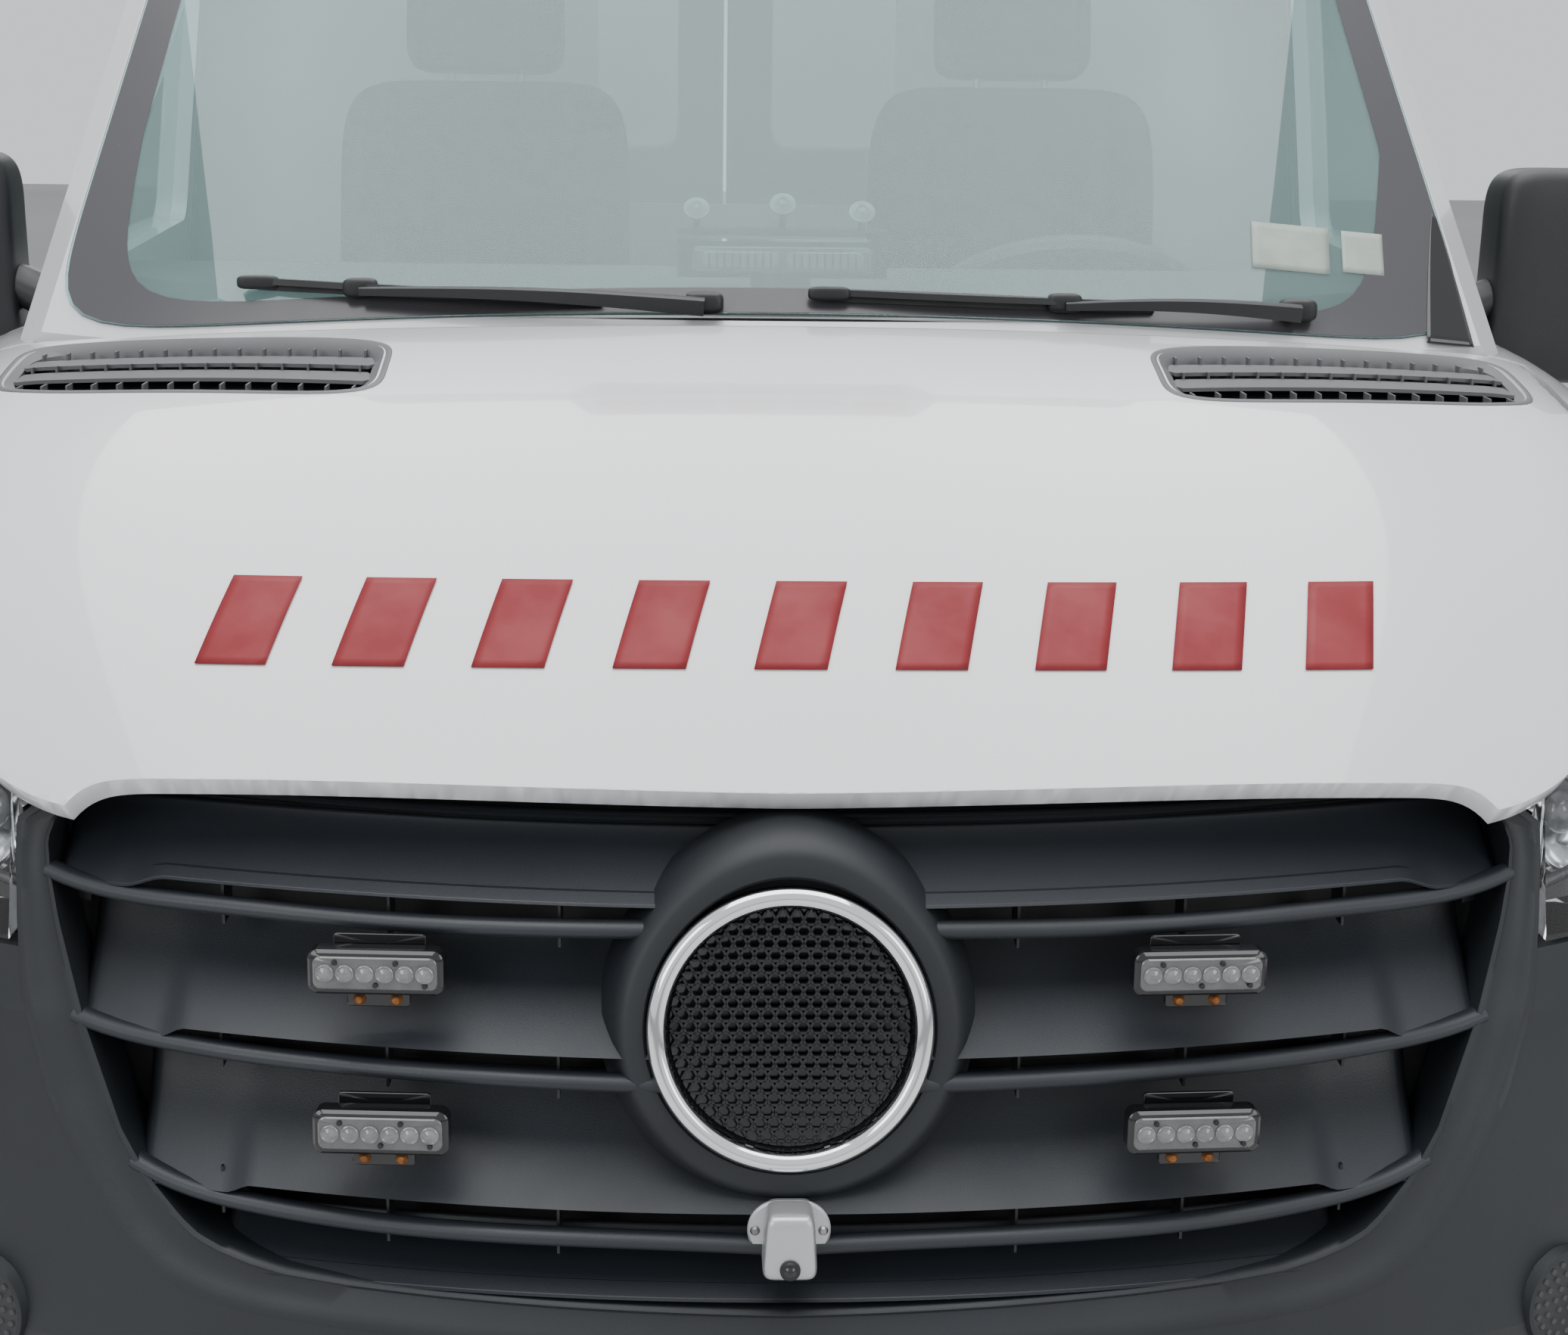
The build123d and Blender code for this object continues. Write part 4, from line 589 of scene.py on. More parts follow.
def marking_bars(count=9, width=0.066, slant=0.022):
    """Plain slanted bars in a row: each runs from a front line to a rear line, both bowed with the
    square of x."""
    across, along = np.meshgrid(np.linspace(0, 1, 8), np.linspace(0, 1, 14), indexing="ij")
    x = np.linspace(-0.539, 0.478, count)[:, None, None] + width * across + slant * along
    front, rear = 0.222 + 0.18 * x**2, 0.316 + 0.19 * x**2
    return on_hood(x, front * (1 - along) + rear * along, 0.0014)


def vent_ring(out, lift):
    """One ring round a vent, drawn in by a width and lifted off the hood."""
    a, b = squared_circle(round_turns(96), VENT_POWER)
    return on_hood(*vent_plan(a * (1 - out / VENT_HALF), b * (1 - out / VENT_DEEP)), lift)


def vent_blade(near, far):
    """A closed blade across a vent, from a near edge down to a far edge, its ends brought together at
    the rim."""
    rows = []
    for b, lift in ((near, -0.0035), (far, -0.0085), (far, -0.0105), (near, -0.0075)):
        reach = (1 - abs(b) ** VENT_POWER) ** (1 / VENT_POWER) - 0.050
        rows.append(on_hood(*vent_plan(reach * np.linspace(-1, 1, 40), b), lift))
    rows = np.stack(rows)
    rows[:, [0, -1]] = rows[:, [0, -1]].mean(0)
    return rows


def vent_ribs(count=14):
    """Centres and half axes of the rows of short ribs in both vents."""
    centres, halves = [], []
    for b, half, low in VENT_RIBS:
        x, s = vent_plan(np.linspace(-0.86, 0.86, count), b)
        centres.append(on_hood(x, s, 0.0035 - low))
        halves.append(np.broadcast_to(np.diag([0.0010, half, 0.006]), (count, 3, 3)))
    return np.concatenate(both(centres)), np.concatenate(halves + halves)


hood = mesh_piece("hood_skin", *hood_skin(), white_paint, "hood", "body_paint", smooth=60, solid=False)
thicken(hood, HOOD_WALL, 0.004)
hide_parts("hood")
sheet("hood_marking", marking_bars(), red_film, "hood", "body_paint", 0.0008)
rim = np.stack([vent_ring(out, lift) for out, lift in VENT_RIM])
vent_rims = hoop("vent_rims", both([rim]), grey_moulding, "hood", "grey_plastic", smooth=50)
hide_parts("hood_vents")
vent_floor = np.stack([vent_ring(out, -0.016) for out in (0.090, 0.060, 0.030, 0.012)])
closed("vent_floors", both([vent_floor]), black_trim, "hood", "grey_plastic")
blades = [vent_blade(-0.46, -0.02), vent_blade(0.05, 0.52)]
surface("vent_blades", both(blades), grey_moulding, "hood", "grey_plastic", along=True)
mesh_piece("vent_ribs", *boxes(*vent_ribs()), grey_moulding, "hood", "grey_plastic", smooth=30)


# Windscreen

SCREEN_TOP = 2.214
PANE_LIFT = 0.006
SCREEN_TURN = round_turns(240)
# the wipers' sections, across and up
RUBBER_SECTION = [(-0.003, -0.004), (0.003, -0.004), (0.002, 0.005), (-0.002, 0.005)]
SPINE_SECTION = [(-0.006, -0.003), (0.006, -0.003), (0.005, 0.004), (-0.004, 0.004)]
ARM_SECTION = [(-0.55, -0.8), (0.55, -0.8), (0.6, 0.5), (0.2, 0.8), (-0.2, 0.8), (-0.6, 0.5)]
# half sizes of the caps at a wiper's tip, joint and pivot
WIPER_CAPS = ((0.024, 0.007, 0.008), (0.020, 0.009, 0.011), (0.022, 0.012, 0.013))


def half_screen(z):
    """Half width of the glass at a height."""
    return np.interp(z, GLASS_ROWS[:, 0], GLASS_ROWS[:, 2])


def foot_z(x):
    """Height of the body where the glass comes down to it."""
    return top_z(x, glass_s(x, 1.39))


def on_glass(x, z, lift):
    """Points off the pane's face at given half widths and heights."""
    return at(x, glass_s(x, z) - PANE_LIFT - lift, z)


def screen_plan(turn, share):
    """Half width and height on the windscreen: a squared circle, |x|^14 + |z|^14 = 1, drawn in by a
    share of its size and stretched to the glass's own width at each height and to the cowl below it."""
    turn, share = np.broadcast_arrays(turn, share)
    across, up = squared_circle(turn, 14)
    across, up = share * across, share * up
    z = 1.8 + 0.41 * up
    for _ in range(4):
        x = across * (half_screen(z) - 0.003)
        foot = foot_z(x) + 0.003
        z = foot + (up + 1) / 2 * (SCREEN_TOP - foot)
    return x, z


def printed_band():
    """The closed band on the glass, four rows round it: the outline, and an inner edge on |x|^12 +
    |z|^12 = 1 drawn in by the band's width, which grows towards the foot and again in the two lower
    corners."""
    x, z = screen_plan(SCREEN_TURN, 0.996)
    across, up = squared_circle(SCREEN_TURN, 12)
    low = foot_z(x) + 0.030
    inner_z = low + (up + 1) / 2 * (SCREEN_TOP - 0.055 - low)
    corner = np.where(across > 0, 0.075, 0.020) * np.clip(1 - (inner_z - 1.40) / 0.19, 0, 1)
    width = np.interp(inner_z, (1.4, 2.2), (0.058, 0.036)) + corner
    inner_x = across * (half_screen(inner_z) - width)
    edges = ((x, z, -0.0015), (x, z, 0.0008), (inner_x, inner_z, 0.0008), (inner_x, inner_z, -0.0015))
    return np.stack([on_glass(*edge) for edge in edges])


def dark_corner():
    """The black triangle at the glass's lower corner: a foot 60 mm wide, whose sides bend in to one
    top, with the power 0.8 of the height that is left."""
    u, v = np.meshgrid(np.linspace(0, 1, 12), np.linspace(0, 1, 16))
    x = 0.806 + (0.060 * u - 0.034) * (1 - v) ** 0.8
    return on_glass(x, foot_z(x) + 0.006 + 0.150 * v, 0.0016)


def cowl_sheet():
    """The cowl from the hood's rear edge up to the glass: it dips into a gutter, the power 0.7 of half
    a sine."""
    u, v = np.meshgrid(np.linspace(-1, 1, 160), np.linspace(0, 1, 14))
    x = 0.85 * u
    near = REAR_S + REAR_BOW * (x / REAR_X) ** 2 + 0.004
    far = glass_s(x, 1.395) + 0.012
    return on_hood(x, near + v * (far - near), -0.004 - 0.012 * np.sin(np.pi * v) ** 0.7)


def wiper(name, tip, heel, joint, pivot):
    """A parked wiper on the line from its tip to its pivot: a thin blade along the glass, its spine and
    end caps, and a flat arm from the pivot to the blade's joint that thins towards it."""
    def line(x):
        return tip[1] + (pivot[1] - tip[1]) * (x - tip[0]) / (pivot[0] - tip[0])

    x = np.linspace(tip[0], heel, 40)
    arch = 0.010 + 0.008 * np.sin(np.pi * np.linspace(0, 1, 40))
    blade = tube(on_glass(x, line(x) - 0.002, 0.004), 1.0, section=RUBBER_SECTION)
    spine = tube(on_glass(x, line(x) + 0.004, arch), 1.0, section=SPINE_SECTION)
    closed(name + "_rubber", blade, rubber, "body", "trim_plastic")
    closed(name + "_spine", spine, black_trim, "body", "trim_plastic")
    run = np.linspace(0, 1, 30)
    x = pivot[0] + (joint - pivot[0]) * run
    hump = np.sin(np.pi * run)
    path = on_glass(x, line(x) + 0.006 * hump, 0.022 + 0.010 * hump)
    arm = tube(path, 0.013 - 0.007 * run, section=ARM_SECTION)
    closed(name + "_arm", arm, black_trim, "body", "trim_plastic")
    ends = zip((tip[0], joint, pivot[0]), WIPER_CAPS)
    caps = [pebble(half, 0.5, 12, 24) + on_glass(x, line(x) + 0.003, 0.014) for x, half in ends]
    closed(name + "_caps", caps, black_trim, "body", "trim_plastic")


pane_x, pane_z = screen_plan(SCREEN_TURN, np.linspace(1, 0, 16)[:, None])
pane = sheet("windscreen_pane", on_glass(pane_x, pane_z, 0), screen_glass, "body", "glass_clear",
             0.0035, 0.0008, around=True)
pane.visible_shadow = pane.visible_diffuse = False
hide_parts("windscreen")
hoop("windscreen_band", printed_band(), frit, "body", "lamp_black")
sheet("windscreen_corner", dark_corner(), black_gloss, "body", "lamp_black", 0.0006)
cowl = sheet("cowl_cover", cowl_sheet(), black_trim, "body", "trim_plastic", 0.003)
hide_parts("cowl")
wiper("wiper_right", (-0.585, 1.431), -0.190, -0.465, (-0.075, 1.419))
wiper("wiper_left", (0.066, 1.430), 0.440, 0.335, (0.612, 1.412))


# Badge

BADGE_TILT = np.radians(9)
BADGE = (at(0.0, 0.0521, 0.878), (1, 0, 0), (0, -np.cos(BADGE_TILT), np.sin(BADGE_TILT)))
# columns: radius and height
DISH = [(0.1075, -0.004), (0.104, -0.012), (0.090, -0.017), (0.050, -0.021), (0, -0.022), (0, -0.027),
        (0.1075, -0.027)]


def badge_bead():
    """The ring's section: half an oval on a straight skirt."""
    angle = np.linspace(np.pi, 0, 16)
    bead = np.c_[0.1155 + 0.0085 * np.cos(angle), 0.001 + 0.008 * np.sin(angle)]
    return np.r_[[(0.107, -0.028)], bead, [(0.124, -0.028)]]


def badge_wires():
    """Centres and half axes of the disc's mesh: even wires at three turns, each as long as the disc is
    there."""
    centres, halves = [], []
    offset = np.arange(-0.099, 0.0995, 0.0105)[:, None]
    reach = np.sqrt(0.103**2 - offset**2)
    for turn in np.radians((0, 60, 120)):
        run = np.array([np.cos(turn), np.sin(turn), 0])
        over = np.array([-np.sin(turn), np.cos(turn), 0])
        centres.append(offset * over + (0, 0, -0.0135))
        halves.append(np.stack(np.broadcast_arrays(reach * run, 0.0011 * over, (0, 0, 0.004)), 1))
    return np.concatenate(centres), np.concatenate(halves)


badge = hoop("badge_ring", placed(lathe(badge_bead(), 160), *BADGE), chrome, "body", "chrome")
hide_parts("badge")
hoop("badge_dish", placed(lathe(DISH, 96), *BADGE), black_gloss, "body", "chrome")
wire_corners, wire_faces = boxes(*badge_wires())
mesh_piece("badge_mesh", placed(wire_corners, *BADGE), wire_faces, black_trim, "body", "chrome", smooth=30)


# Grille

# half width and height of the surround's inner and outer edge, from the middle of the foot to that of
# the top
SURROUND_IN = [(0, 0.634), (0.185, 0.638), (0.303, 0.641), (0.384, 0.644), (0.441, 0.648), (0.472, 0.654),
               (0.499, 0.662), (0.520, 0.671), (0.536, 0.684), (0.563, 0.713), (0.577, 0.733), (0.591, 0.756),
               (0.607, 0.799), (0.624, 0.845), (0.637, 0.886), (0.651, 0.931), (0.660, 0.970), (0.663, 1.000),
               (0.655, 1.020), (0.625, 1.032), (0.560, 1.034), (0.300, 1.030), (0, 1.030)]
SURROUND_OUT = [(0, 0.604), (0.200, 0.606), (0.400, 0.612), (0.466, 0.616), (0.516, 0.625), (0.554, 0.641),
                (0.583, 0.667), (0.598, 0.688), (0.613, 0.712), (0.632, 0.746), (0.651, 0.785), (0.664, 0.828),
                (0.677, 0.870), (0.684, 0.930), (0.688, 0.985), (0.686, 1.016), (0.660, 1.034), (0.600, 1.042),
                (0.300, 1.039), (0, 1.039)]
# columns: share of the way from the outer to the inner edge, depth behind the nose
SURROUND_ROWS = [(-0.26, 0.003), (-0.22, -0.0016), (0.04, -0.0030), (0.20, 0.0005), (0.80, 0.0045),
                 (0.90, 0.0020), (1.0, 0.0040), (1.04, 0.0120), (1.0, 0.085), (0.75, 0.085), (0.75, 0.012),
                 (0.0, 0.010)]
# half width and height of the middle of each bar under a slat
BARS = [[(0.090, 0.9565), (0.264, 0.954), (0.384, 0.954), (0.507, 0.9565), (0.591, 0.959), (0.662, 0.972)],
        [(0.110, 0.828), (0.263, 0.829), (0.383, 0.8305), (0.547, 0.837), (0.621, 0.8475), (0.634, 0.851)],
        [(0.020, 0.6885), (0.264, 0.692), (0.383, 0.6945), (0.465, 0.700), (0.559, 0.718), (0.580, 0.727)]]
# half widths of the ribs behind each bar
RIB_PLACES = (0.200, 0.350, 0.500)
# columns: height of the top, depth of the top, height of the foot, its drop outside the notch, where
# the notch
# starts and ends, inner half width, outer half width
SLATS = [(1.028, 0.070, 0.9765, 0.010, 0.551, 0.591, 0.060, 0.654),
         (0.938, 0.072, 0.8520, 0.010, 0.531, 0.557, 0.110, 0.6315),
         (0.816, 0.072, 0.7190, 0.008, 0.472, 0.495, 0.0, 0.5775),
         (0.684, 0.060, 0.6420, 0.0, 0.300, 0.400, 0.0, 0.500)]
# columns: lift above a slat's foot and depth behind the nose of the slat's rolled edge
SLAT_EDGE = ((0.006, 0.026), (0.001, 0.017), (-0.0012, 0.010), (-0.0012, 0.0065))
# columns: radius and height of the round boss that carries the badge
BOSS = [(0, -0.030), (0.1245, -0.030), (0.1245, -0.008), (0.1270, -0.003), (0.1400, -0.001), (0.1470, -0.005),
        (0.1540, -0.018), (0.1630, -0.040), (0.1680, -0.072), (0, -0.072)]


def nose_face(x, z):
    """Station of the nose out to the lamps: the bow, and past its end an arc that leaves it along its
    tangent."""
    x, z = np.broadcast_arrays(np.abs(x), z)
    past = np.maximum(x - BOW_HALF, 0)
    slope = 2 * BOW_DEPTH / BOW_HALF
    beyond = nose_s(BOW_HALF, z) + slope * past + 1.3 * past**2
    return np.where(x < BOW_HALF, nose_s(x, z), beyond)


def on_nose(x, z, depth):
    """Points behind the nose's face at given half widths and heights."""
    return at(x, nose_face(x, z) + depth, z)


def closed_loop(half, count=400):
    """A half outline and its mirror image as one closed loop of evenly spaced points."""
    half = np.array(half, float)
    loop = np.concatenate([half, (half * (-1, 1))[::-1][1:]])
    run = np.r_[0, np.cumsum(np.hypot(*np.diff(loop, axis=0).T))]
    q = np.arange(count) * run[-1] / count
    return np.stack([np.interp(q, run, loop[:, 0]), np.interp(q, run, loop[:, 1])], -1)


def surround_loops():
    """The surround's rows: each loop lies a share of the way from the outer to the inner edge, and its
    top is set back under the hood."""
    inner, outer = closed_loop(SURROUND_IN), closed_loop(SURROUND_OUT)
    rows = []
    for share, depth in SURROUND_ROWS:
        x, z = (outer + share * (inner - outer)).T
        under = 0.060 * np.clip((0.650 - np.abs(x)) / 0.060, 0, 1) * np.clip((z - 0.980) / 0.030, 0, 1)
        rows.append(on_nose(x, z, depth + under))
    return np.stack(rows)


def slat_rows(top, deep, foot, drop, notch, notch_end, x0, x1):
    """One side of a slat, from behind its foot up: it leans back faster the nearer it is to the foot,
    depth = deep (1 - v^1.7), and the foot steps down along a smooth notch."""
    x = x0 + (x1 - x0) * np.linspace(0, 1, 90)
    w = np.clip((x - notch) / (notch_end - notch), 0, 1)
    low = foot - drop * w * w * (3 - 2 * w)
    end = np.clip((x1 - x) / 0.012, 0, 1)
    round_off = 0.010 * (1 - np.sqrt(1 - (1 - end) ** 2))
    rows = [at(x, nose_face(x, low) + depth, low + lift) for lift, depth in SLAT_EDGE]
    for v in np.linspace(1, 0, 16):
        rows.append(on_nose(x, top + (low - top) * v, 0.004 + deep * (1 - v**1.7) + round_off))
    return np.stack(rows)


def bars_and_ribs():
    """The bars under the slats, ovals along a cubic curve, and the centres and half axes of the ribs
    behind them."""
    bars, ribs = [], []
    for knots in map(np.array, BARS):
        x = np.linspace(knots[0, 0], knots[-1, 0], 60)
        z = curve(knots[:, 0], knots[:, 1:], x)[:, 0]
        bars += both([tube(on_nose(x, z, 0.013), 1.0, section=oval(0.011, 0.0082, 16))])
        height = np.interp(RIB_PLACES, x, z)
        ribs.append(on_nose(RIB_PLACES, height, 0.040) + (0, 0, 0.002))
    centres = np.concatenate(both(ribs))
    return bars, centres, np.broadcast_to(np.diag([0.0012, 0.020, 0.022]), (len(centres), 3, 3))


def badge_boss():
    """The boss, turned about the badge's axis and drawn up to a tenth longer towards its top."""
    boss = lathe(BOSS, 128)
    boss[..., 1] *= 1 + 0.10 * np.clip(boss[..., 1] / 0.168, 0, 1) ** 3
    return placed(boss, *BADGE)


surround = hoop("grille_surround", surround_loops(), bumper_moulding, "body", "bumper_plastic", smooth=50)
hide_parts("grille")
slats = []
for row in SLATS:
    one_side = slat_rows(*row)
    slats += [one_side, flip(one_side)[:, ::-1]]
sheet("grille_slats", slats, dark_moulding, "body", "bumper_plastic", 0.003, smooth=50)
grille_bars, rib_centres, rib_halves = bars_and_ribs()
closed("grille_bars", grille_bars, dark_moulding, "body", "bumper_plastic")
rib_corners, rib_faces = boxes(rib_centres, rib_halves)
mesh_piece("grille_ribs", rib_corners, rib_faces, black_trim, "body", "bumper_plastic", smooth=30)
# painted shade: a black sheet 92 mm behind the nose across the whole grille, standing for the shade behind the
# slats and under the hood's front edge
shade_sheet_corners = np.meshgrid(np.linspace(-0.66, 0.66, 60), np.linspace(0.64, 1.05, 20))
sheet("grille_shade_sheet", on_nose(*shade_sheet_corners, 0.092), rubber, "body", "bumper_plastic", 0.002)
hoop("badge_boss", badge_boss(), bumper_moulding, "body", "bumper_plastic", smooth=50)


# Flashing lamps and camera in the grille

# half width and height of each pair of lamps
FLASH_LAMPS = ((0.355, 0.922), (0.350, 0.788))
LED_STEP, LED_COUNT = 0.0172, 6
# columns: radius and height of what is turned
LED = [(0, 0.0042), (0.0030, 0.0036), (0.0050, 0.0018), (0.0062, 0.0016), (0.0070, 0.0022), (0.0079, 0.0016),
       (0.0080, 0), (0, 0)]
SCREW = [(0, 0.003), (0.0022, 0.0025), (0.0026, 0), (0, 0)]
BOLT = [(0, 0.0045), (0.003, 0.0043), (0.0054, 0.001), (0.0056, 0), (0, 0)]
CAMERA_SCREW = [(0, 0.003), (0.0025, 0.0028), (0.0042, 0.0008), (0.0044, 0), (0, 0)]
CAMERA_RING = [(0, 0.006), (0.0075, 0.006), (0.0088, 0.004), (0.0092, -0.004), (0, -0.004)]
CAMERA_LENS = [(0, 0.0085), (0.003, 0.008), (0.0052, 0.0062), (0.0054, 0.002), (0, 0.002)]
CAMERA_EYE = (0, -0.0205, 0.0385)


def facing(points, x, s, z, lean=0.0):
    """Points moved so that their x runs across the vehicle and their z forwards, at a place on the
    nose."""
    return placed(points, at(x, s, z), (np.cos(lean), np.sin(lean), 0), (np.sin(lean), -np.cos(lean), 0))


def flash_lamps():
    """The four lamps: their bodies with bracket and foot, windows, cells, screws and bolts."""
    bodies, windows, cells, screws, bolts = [], [], [], [], []
    for x, z in FLASH_LAMPS:
        for sign, _ in SIDES:
            place = (sign * x, nose_s(x, z) - 0.004, z, sign * 0.06)
            bodies.append(facing(plate(0.0585, 0.0200, 0.021, 0.009, 0.12), *place))
            bodies.append(facing(plate(0.027, 0.0125, 0.010, 0.003, 0.1) + (0, -0.022, -0.001), *place))
            bodies.append(facing(plate(0.040, 0.0100, 0.004, 0.003, 0.1) + (0, 0.017, -0.008), *place))
            windows.append(facing(plate(0.0535, 0.0148, 0.004, 0.007, 0.3) + (0, 0, 0.0188), *place))
            for k in range(LED_COUNT):
                offset = LED_STEP * (k - (LED_COUNT - 1) / 2)
                cells.append(facing(lathe(LED, 24) + (offset, 0, 0.0226), *place))
            for k, offset in enumerate((-0.0345, 0.0005, 0.0180, 0.0430)):
                screws.append(facing(lathe(SCREW, 12) + (offset, 0.0100 * (-1) ** k, 0.0226), *place))
            for offset in (-0.016, 0.016):
                bolts.append(facing(lathe(BOLT, 20) + (offset, -0.0275, 0.009), *place))
    return bodies, windows, cells, screws, bolts


def camera_shell():
    """The camera's body: a rounded block that widens downwards."""
    shell = pebble((0.0225, 0.0300, 0.024), 0.3, 24, 48)
    shell[..., 0] *= 1 - 2.7 * shell[..., 1]
    return shell + (0, -0.003, 0.016)


lamp_bodies, lamp_windows, lamp_cells, lamp_screws, lamp_bolts = flash_lamps()
flash_bodies = closed("flash_lamp_bodies", lamp_bodies, black_gloss, "body", "lamp_black")
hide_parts("grille_lamps")
closed("flash_lamp_windows", lamp_windows, led_face, "body", "lamp_clear")
closed("flash_lamp_cells", lamp_cells, led_cell, "body", "lamp_clear")
closed("flash_lamp_screws", lamp_screws, black_trim, "body", "lamp_black")
closed("flash_lamp_bolts", lamp_bolts, rust, "body", "steel")

camera_at = (0.0, nose_s(0, 0.706) + 0.008, 0.706)
shell = closed("front_camera_shell", facing(camera_shell(), *camera_at), silver, "body", "silver_metal")
base = plate(0.036, 0.027, 0.006, 0.0265, 0.3)
closed("front_camera_base", facing(base, *camera_at), silver, "body", "silver_metal")
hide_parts("front_camera")
camera_ring = facing(lathe(CAMERA_RING, 32) + CAMERA_EYE, *camera_at)
camera_lens = facing(lathe(CAMERA_LENS, 24) + CAMERA_EYE, *camera_at)
camera_screws = [facing(lathe(CAMERA_SCREW, 20) + (x, 0, 0.006), *camera_at) for x in (-0.0295, 0.0295)]
closed("front_camera_ring", camera_ring, black_trim, "body", "lamp_black")
closed("front_camera_lens", camera_lens, black_gloss, "body", "lamp_black")
closed("front_camera_screws", camera_screws, steel, "body", "steel")


# Headlamps, and the round perforated covers low in the bumper's corners

# columns: radius and height
BOWL = [(0, -0.046), (0.020, -0.044), (0.040, -0.030), (0.050, -0.008), (0.052, -0.004), (0.054, -0.008),
        (0.044, -0.034), (0.020, -0.050), (0, -0.052)]
BOWL_RING = [(0.050, -0.004), (0.0535, 0.001), (0.057, -0.004), (0.054, -0.012)]
COVER = [(0, 0.001), (0.040, 0.001), (0.044, 0.004), (0.048, 0.003), (0.050, -0.008), (0, -0.008)]
HOLE = [(0, 0.0008), (0.0030, 0.0007), (0.0036, 0), (0, 0)]
# columns: height, share of the way round the nose's corner, size
BOWLS = ((1.005, 0.20, 1.0), (1.045, 0.46, 0.86))
# columns: height, its rise, depth behind the nose, radius
STRIPS = ((0.945, 0.10, 0.016, 0.0055), (1.085, 0.12, 0.018, 0.0045))
# columns: radius of a ring of holes and their count
HOLE_RINGS = ((0.0, 1), (0.012, 6), (0.024, 12), (0.035, 18))


def on_lamp(z, share, back):
    """A place round the corner of the nose, set back along its outward direction, with that direction's
    turn."""
    lean = 0.34 + share * 1.08
    x, s = nose_turn(z, share)
    return x - back * np.sin(lean), s + back * np.cos(lean), z, lean


def lamp_strip(z, rise, back, radius):
    """A light guide through the lamp that climbs outwards."""
    share = np.linspace(0.06, 0.66, 30)
    return tube(at(*on_lamp(z + rise * share, share, back)[:3]), radius, 10)


def lamp_back():
    """The dark sheet behind a headlamp's bowls, taller outwards."""
    share, v = np.meshgrid(np.linspace(0.03, 0.70, 30), np.linspace(0, 1, 12))
    x, s, z, _ = on_lamp(0.925 + 0.05 * share + v * (0.16 + 0.09 * share), share, 0.075)
    return [at(x, s, z), at(-x, s, z)]


bowls, rings, bulbs = [], [], []
for z, share, size in BOWLS:
    place = on_lamp(z, share, 0.022)
    bowls.append(facing(lathe(BOWL, 48) * size, *place))
    rings.append(facing(lathe(BOWL_RING, 48) * size, *place))
    bulbs.append(facing(pebble((0.021, 0.021, 0.017), 1.0, 16, 32) * size + (0, 0, -0.030), *place))
closed("headlamp_bowls", both(bowls), reflector, "body", "chrome")
hoop("headlamp_rings", both(rings), chrome, "body", "chrome")
closed("headlamp_bulbs", both(bulbs), led_cell, "body", "lamp_clear")
closed("headlamp_strips", both([lamp_strip(*strip) for strip in STRIPS]), led_face, "body", "lamp_clear")
sheet("headlamp_backs", lamp_back(), cast, "body", "lamp_black", 0.002)

cover_at = on_lamp(0.575, 0.16, -0.002)
holes = []
for radius, count in HOLE_RINGS:
    for turn in round_turns(count):
        spot = lathe(HOLE, 8) + (radius * np.cos(turn), radius * np.sin(turn), 0.001)
        holes.append(facing(spot, *cover_at))
covers = [facing(lathe(COVER, 64), *cover_at)]
closed("bumper_covers", both(covers), bumper_moulding, "body", "bumper_plastic")
closed("bumper_cover_holes", both(holes), black_gloss, "body", "bumper_plastic")


# Mirrors

MIRROR_X = 1.0615
# columns: name, half width and half height of a glass, its height
MIRROR_GLASSES = (("mirror_glass_", (0.094, 0.082), 1.462), ("mirror_low_glass_", (0.090, 0.030), 1.340))


def mirror(sign, side):
    """A door mirror: its head narrows outwards below the middle; an arm, two glasses and a small
    flasher."""
    door = "front_door_" + side
    head = pebble((0.1105, 0.056, 0.138), 0.30, 40, 64)
    head[..., 0] += 0.05 * head[..., 2] * (head[..., 2] < 0)
    head = head * (sign, 1, 1) + at(sign * MIRROR_X, 1.347, 1.4275)
    shell = closed("mirror_shell_" + side, head, black_trim, door, "trim_plastic")
    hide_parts("side_mirror_" + side)
    run = np.linspace(0, 1, 20)
    path = at(sign * (0.905 + 0.08 * run), 1.335 + 0.010 * run, 1.372 + 0.03 * np.sin(np.pi * run / 2))
    arm = tube(path, 1.0, section=oval(0.034, 0.026, 24))
    closed("mirror_arm_" + side, arm, black_trim, door, "trim_plastic")
    for name, half, z in MIRROR_GLASSES:
        face = facing(plate(*half, 0.004, 0.022, 0.3), sign * MIRROR_X, 1.4005, z, np.pi)
        closed(name + side, face, reflector, door, "chrome")
    flasher = facing(plate(0.030, 0.010, 0.004, 0.008, 0.4), sign * 1.130, 1.2935, 1.400, sign * 0.35)
    closed("mirror_flasher_" + side, flasher, lens_amber, door, "lamp_clear")


for sign, side in SIDES:
    mirror(sign, side)


# Wheels

WHEEL_R = 0.387
BLOCKS = 70
GROOVES = (0.0575, 0.0200)
# columns: half width, station and end of the body's name
WHEELS = ((0.867, 1.004, "front_"), (0.858, 4.669, "rear_"))
# half width and radius of a tyre's side, from the rim's edge up to the shoulder
TYRE_SIDE = [(0.088, 0.2235), (0.103, 0.236), (0.111, 0.258), (0.1165, 0.290), (0.1178, 0.308),
             (0.1168, 0.328), (0.1125, 0.349), (0.1055, 0.366), (0.0960, 0.3785), (0.0880, 0.3835)]
NUT_COUNT, NUT_RADIUS = 6, 0.094
# columns: radius and height
NUT = [(0, 0.024), (0.009, 0.023), (0.0135, 0.018), (0.0140, -0.001), (0, -0.001)]
CAP = [(0, 0.0885), (0.030, 0.0880), (0.050, 0.0850), (0.0605, 0.0780), (0.0615, 0.0690), (0, 0.0690)]
VALVE = np.array([(0.198, -0.005, 0.050), (0.198, 0.006, 0.062), (0.198, 0.010, 0.085)])


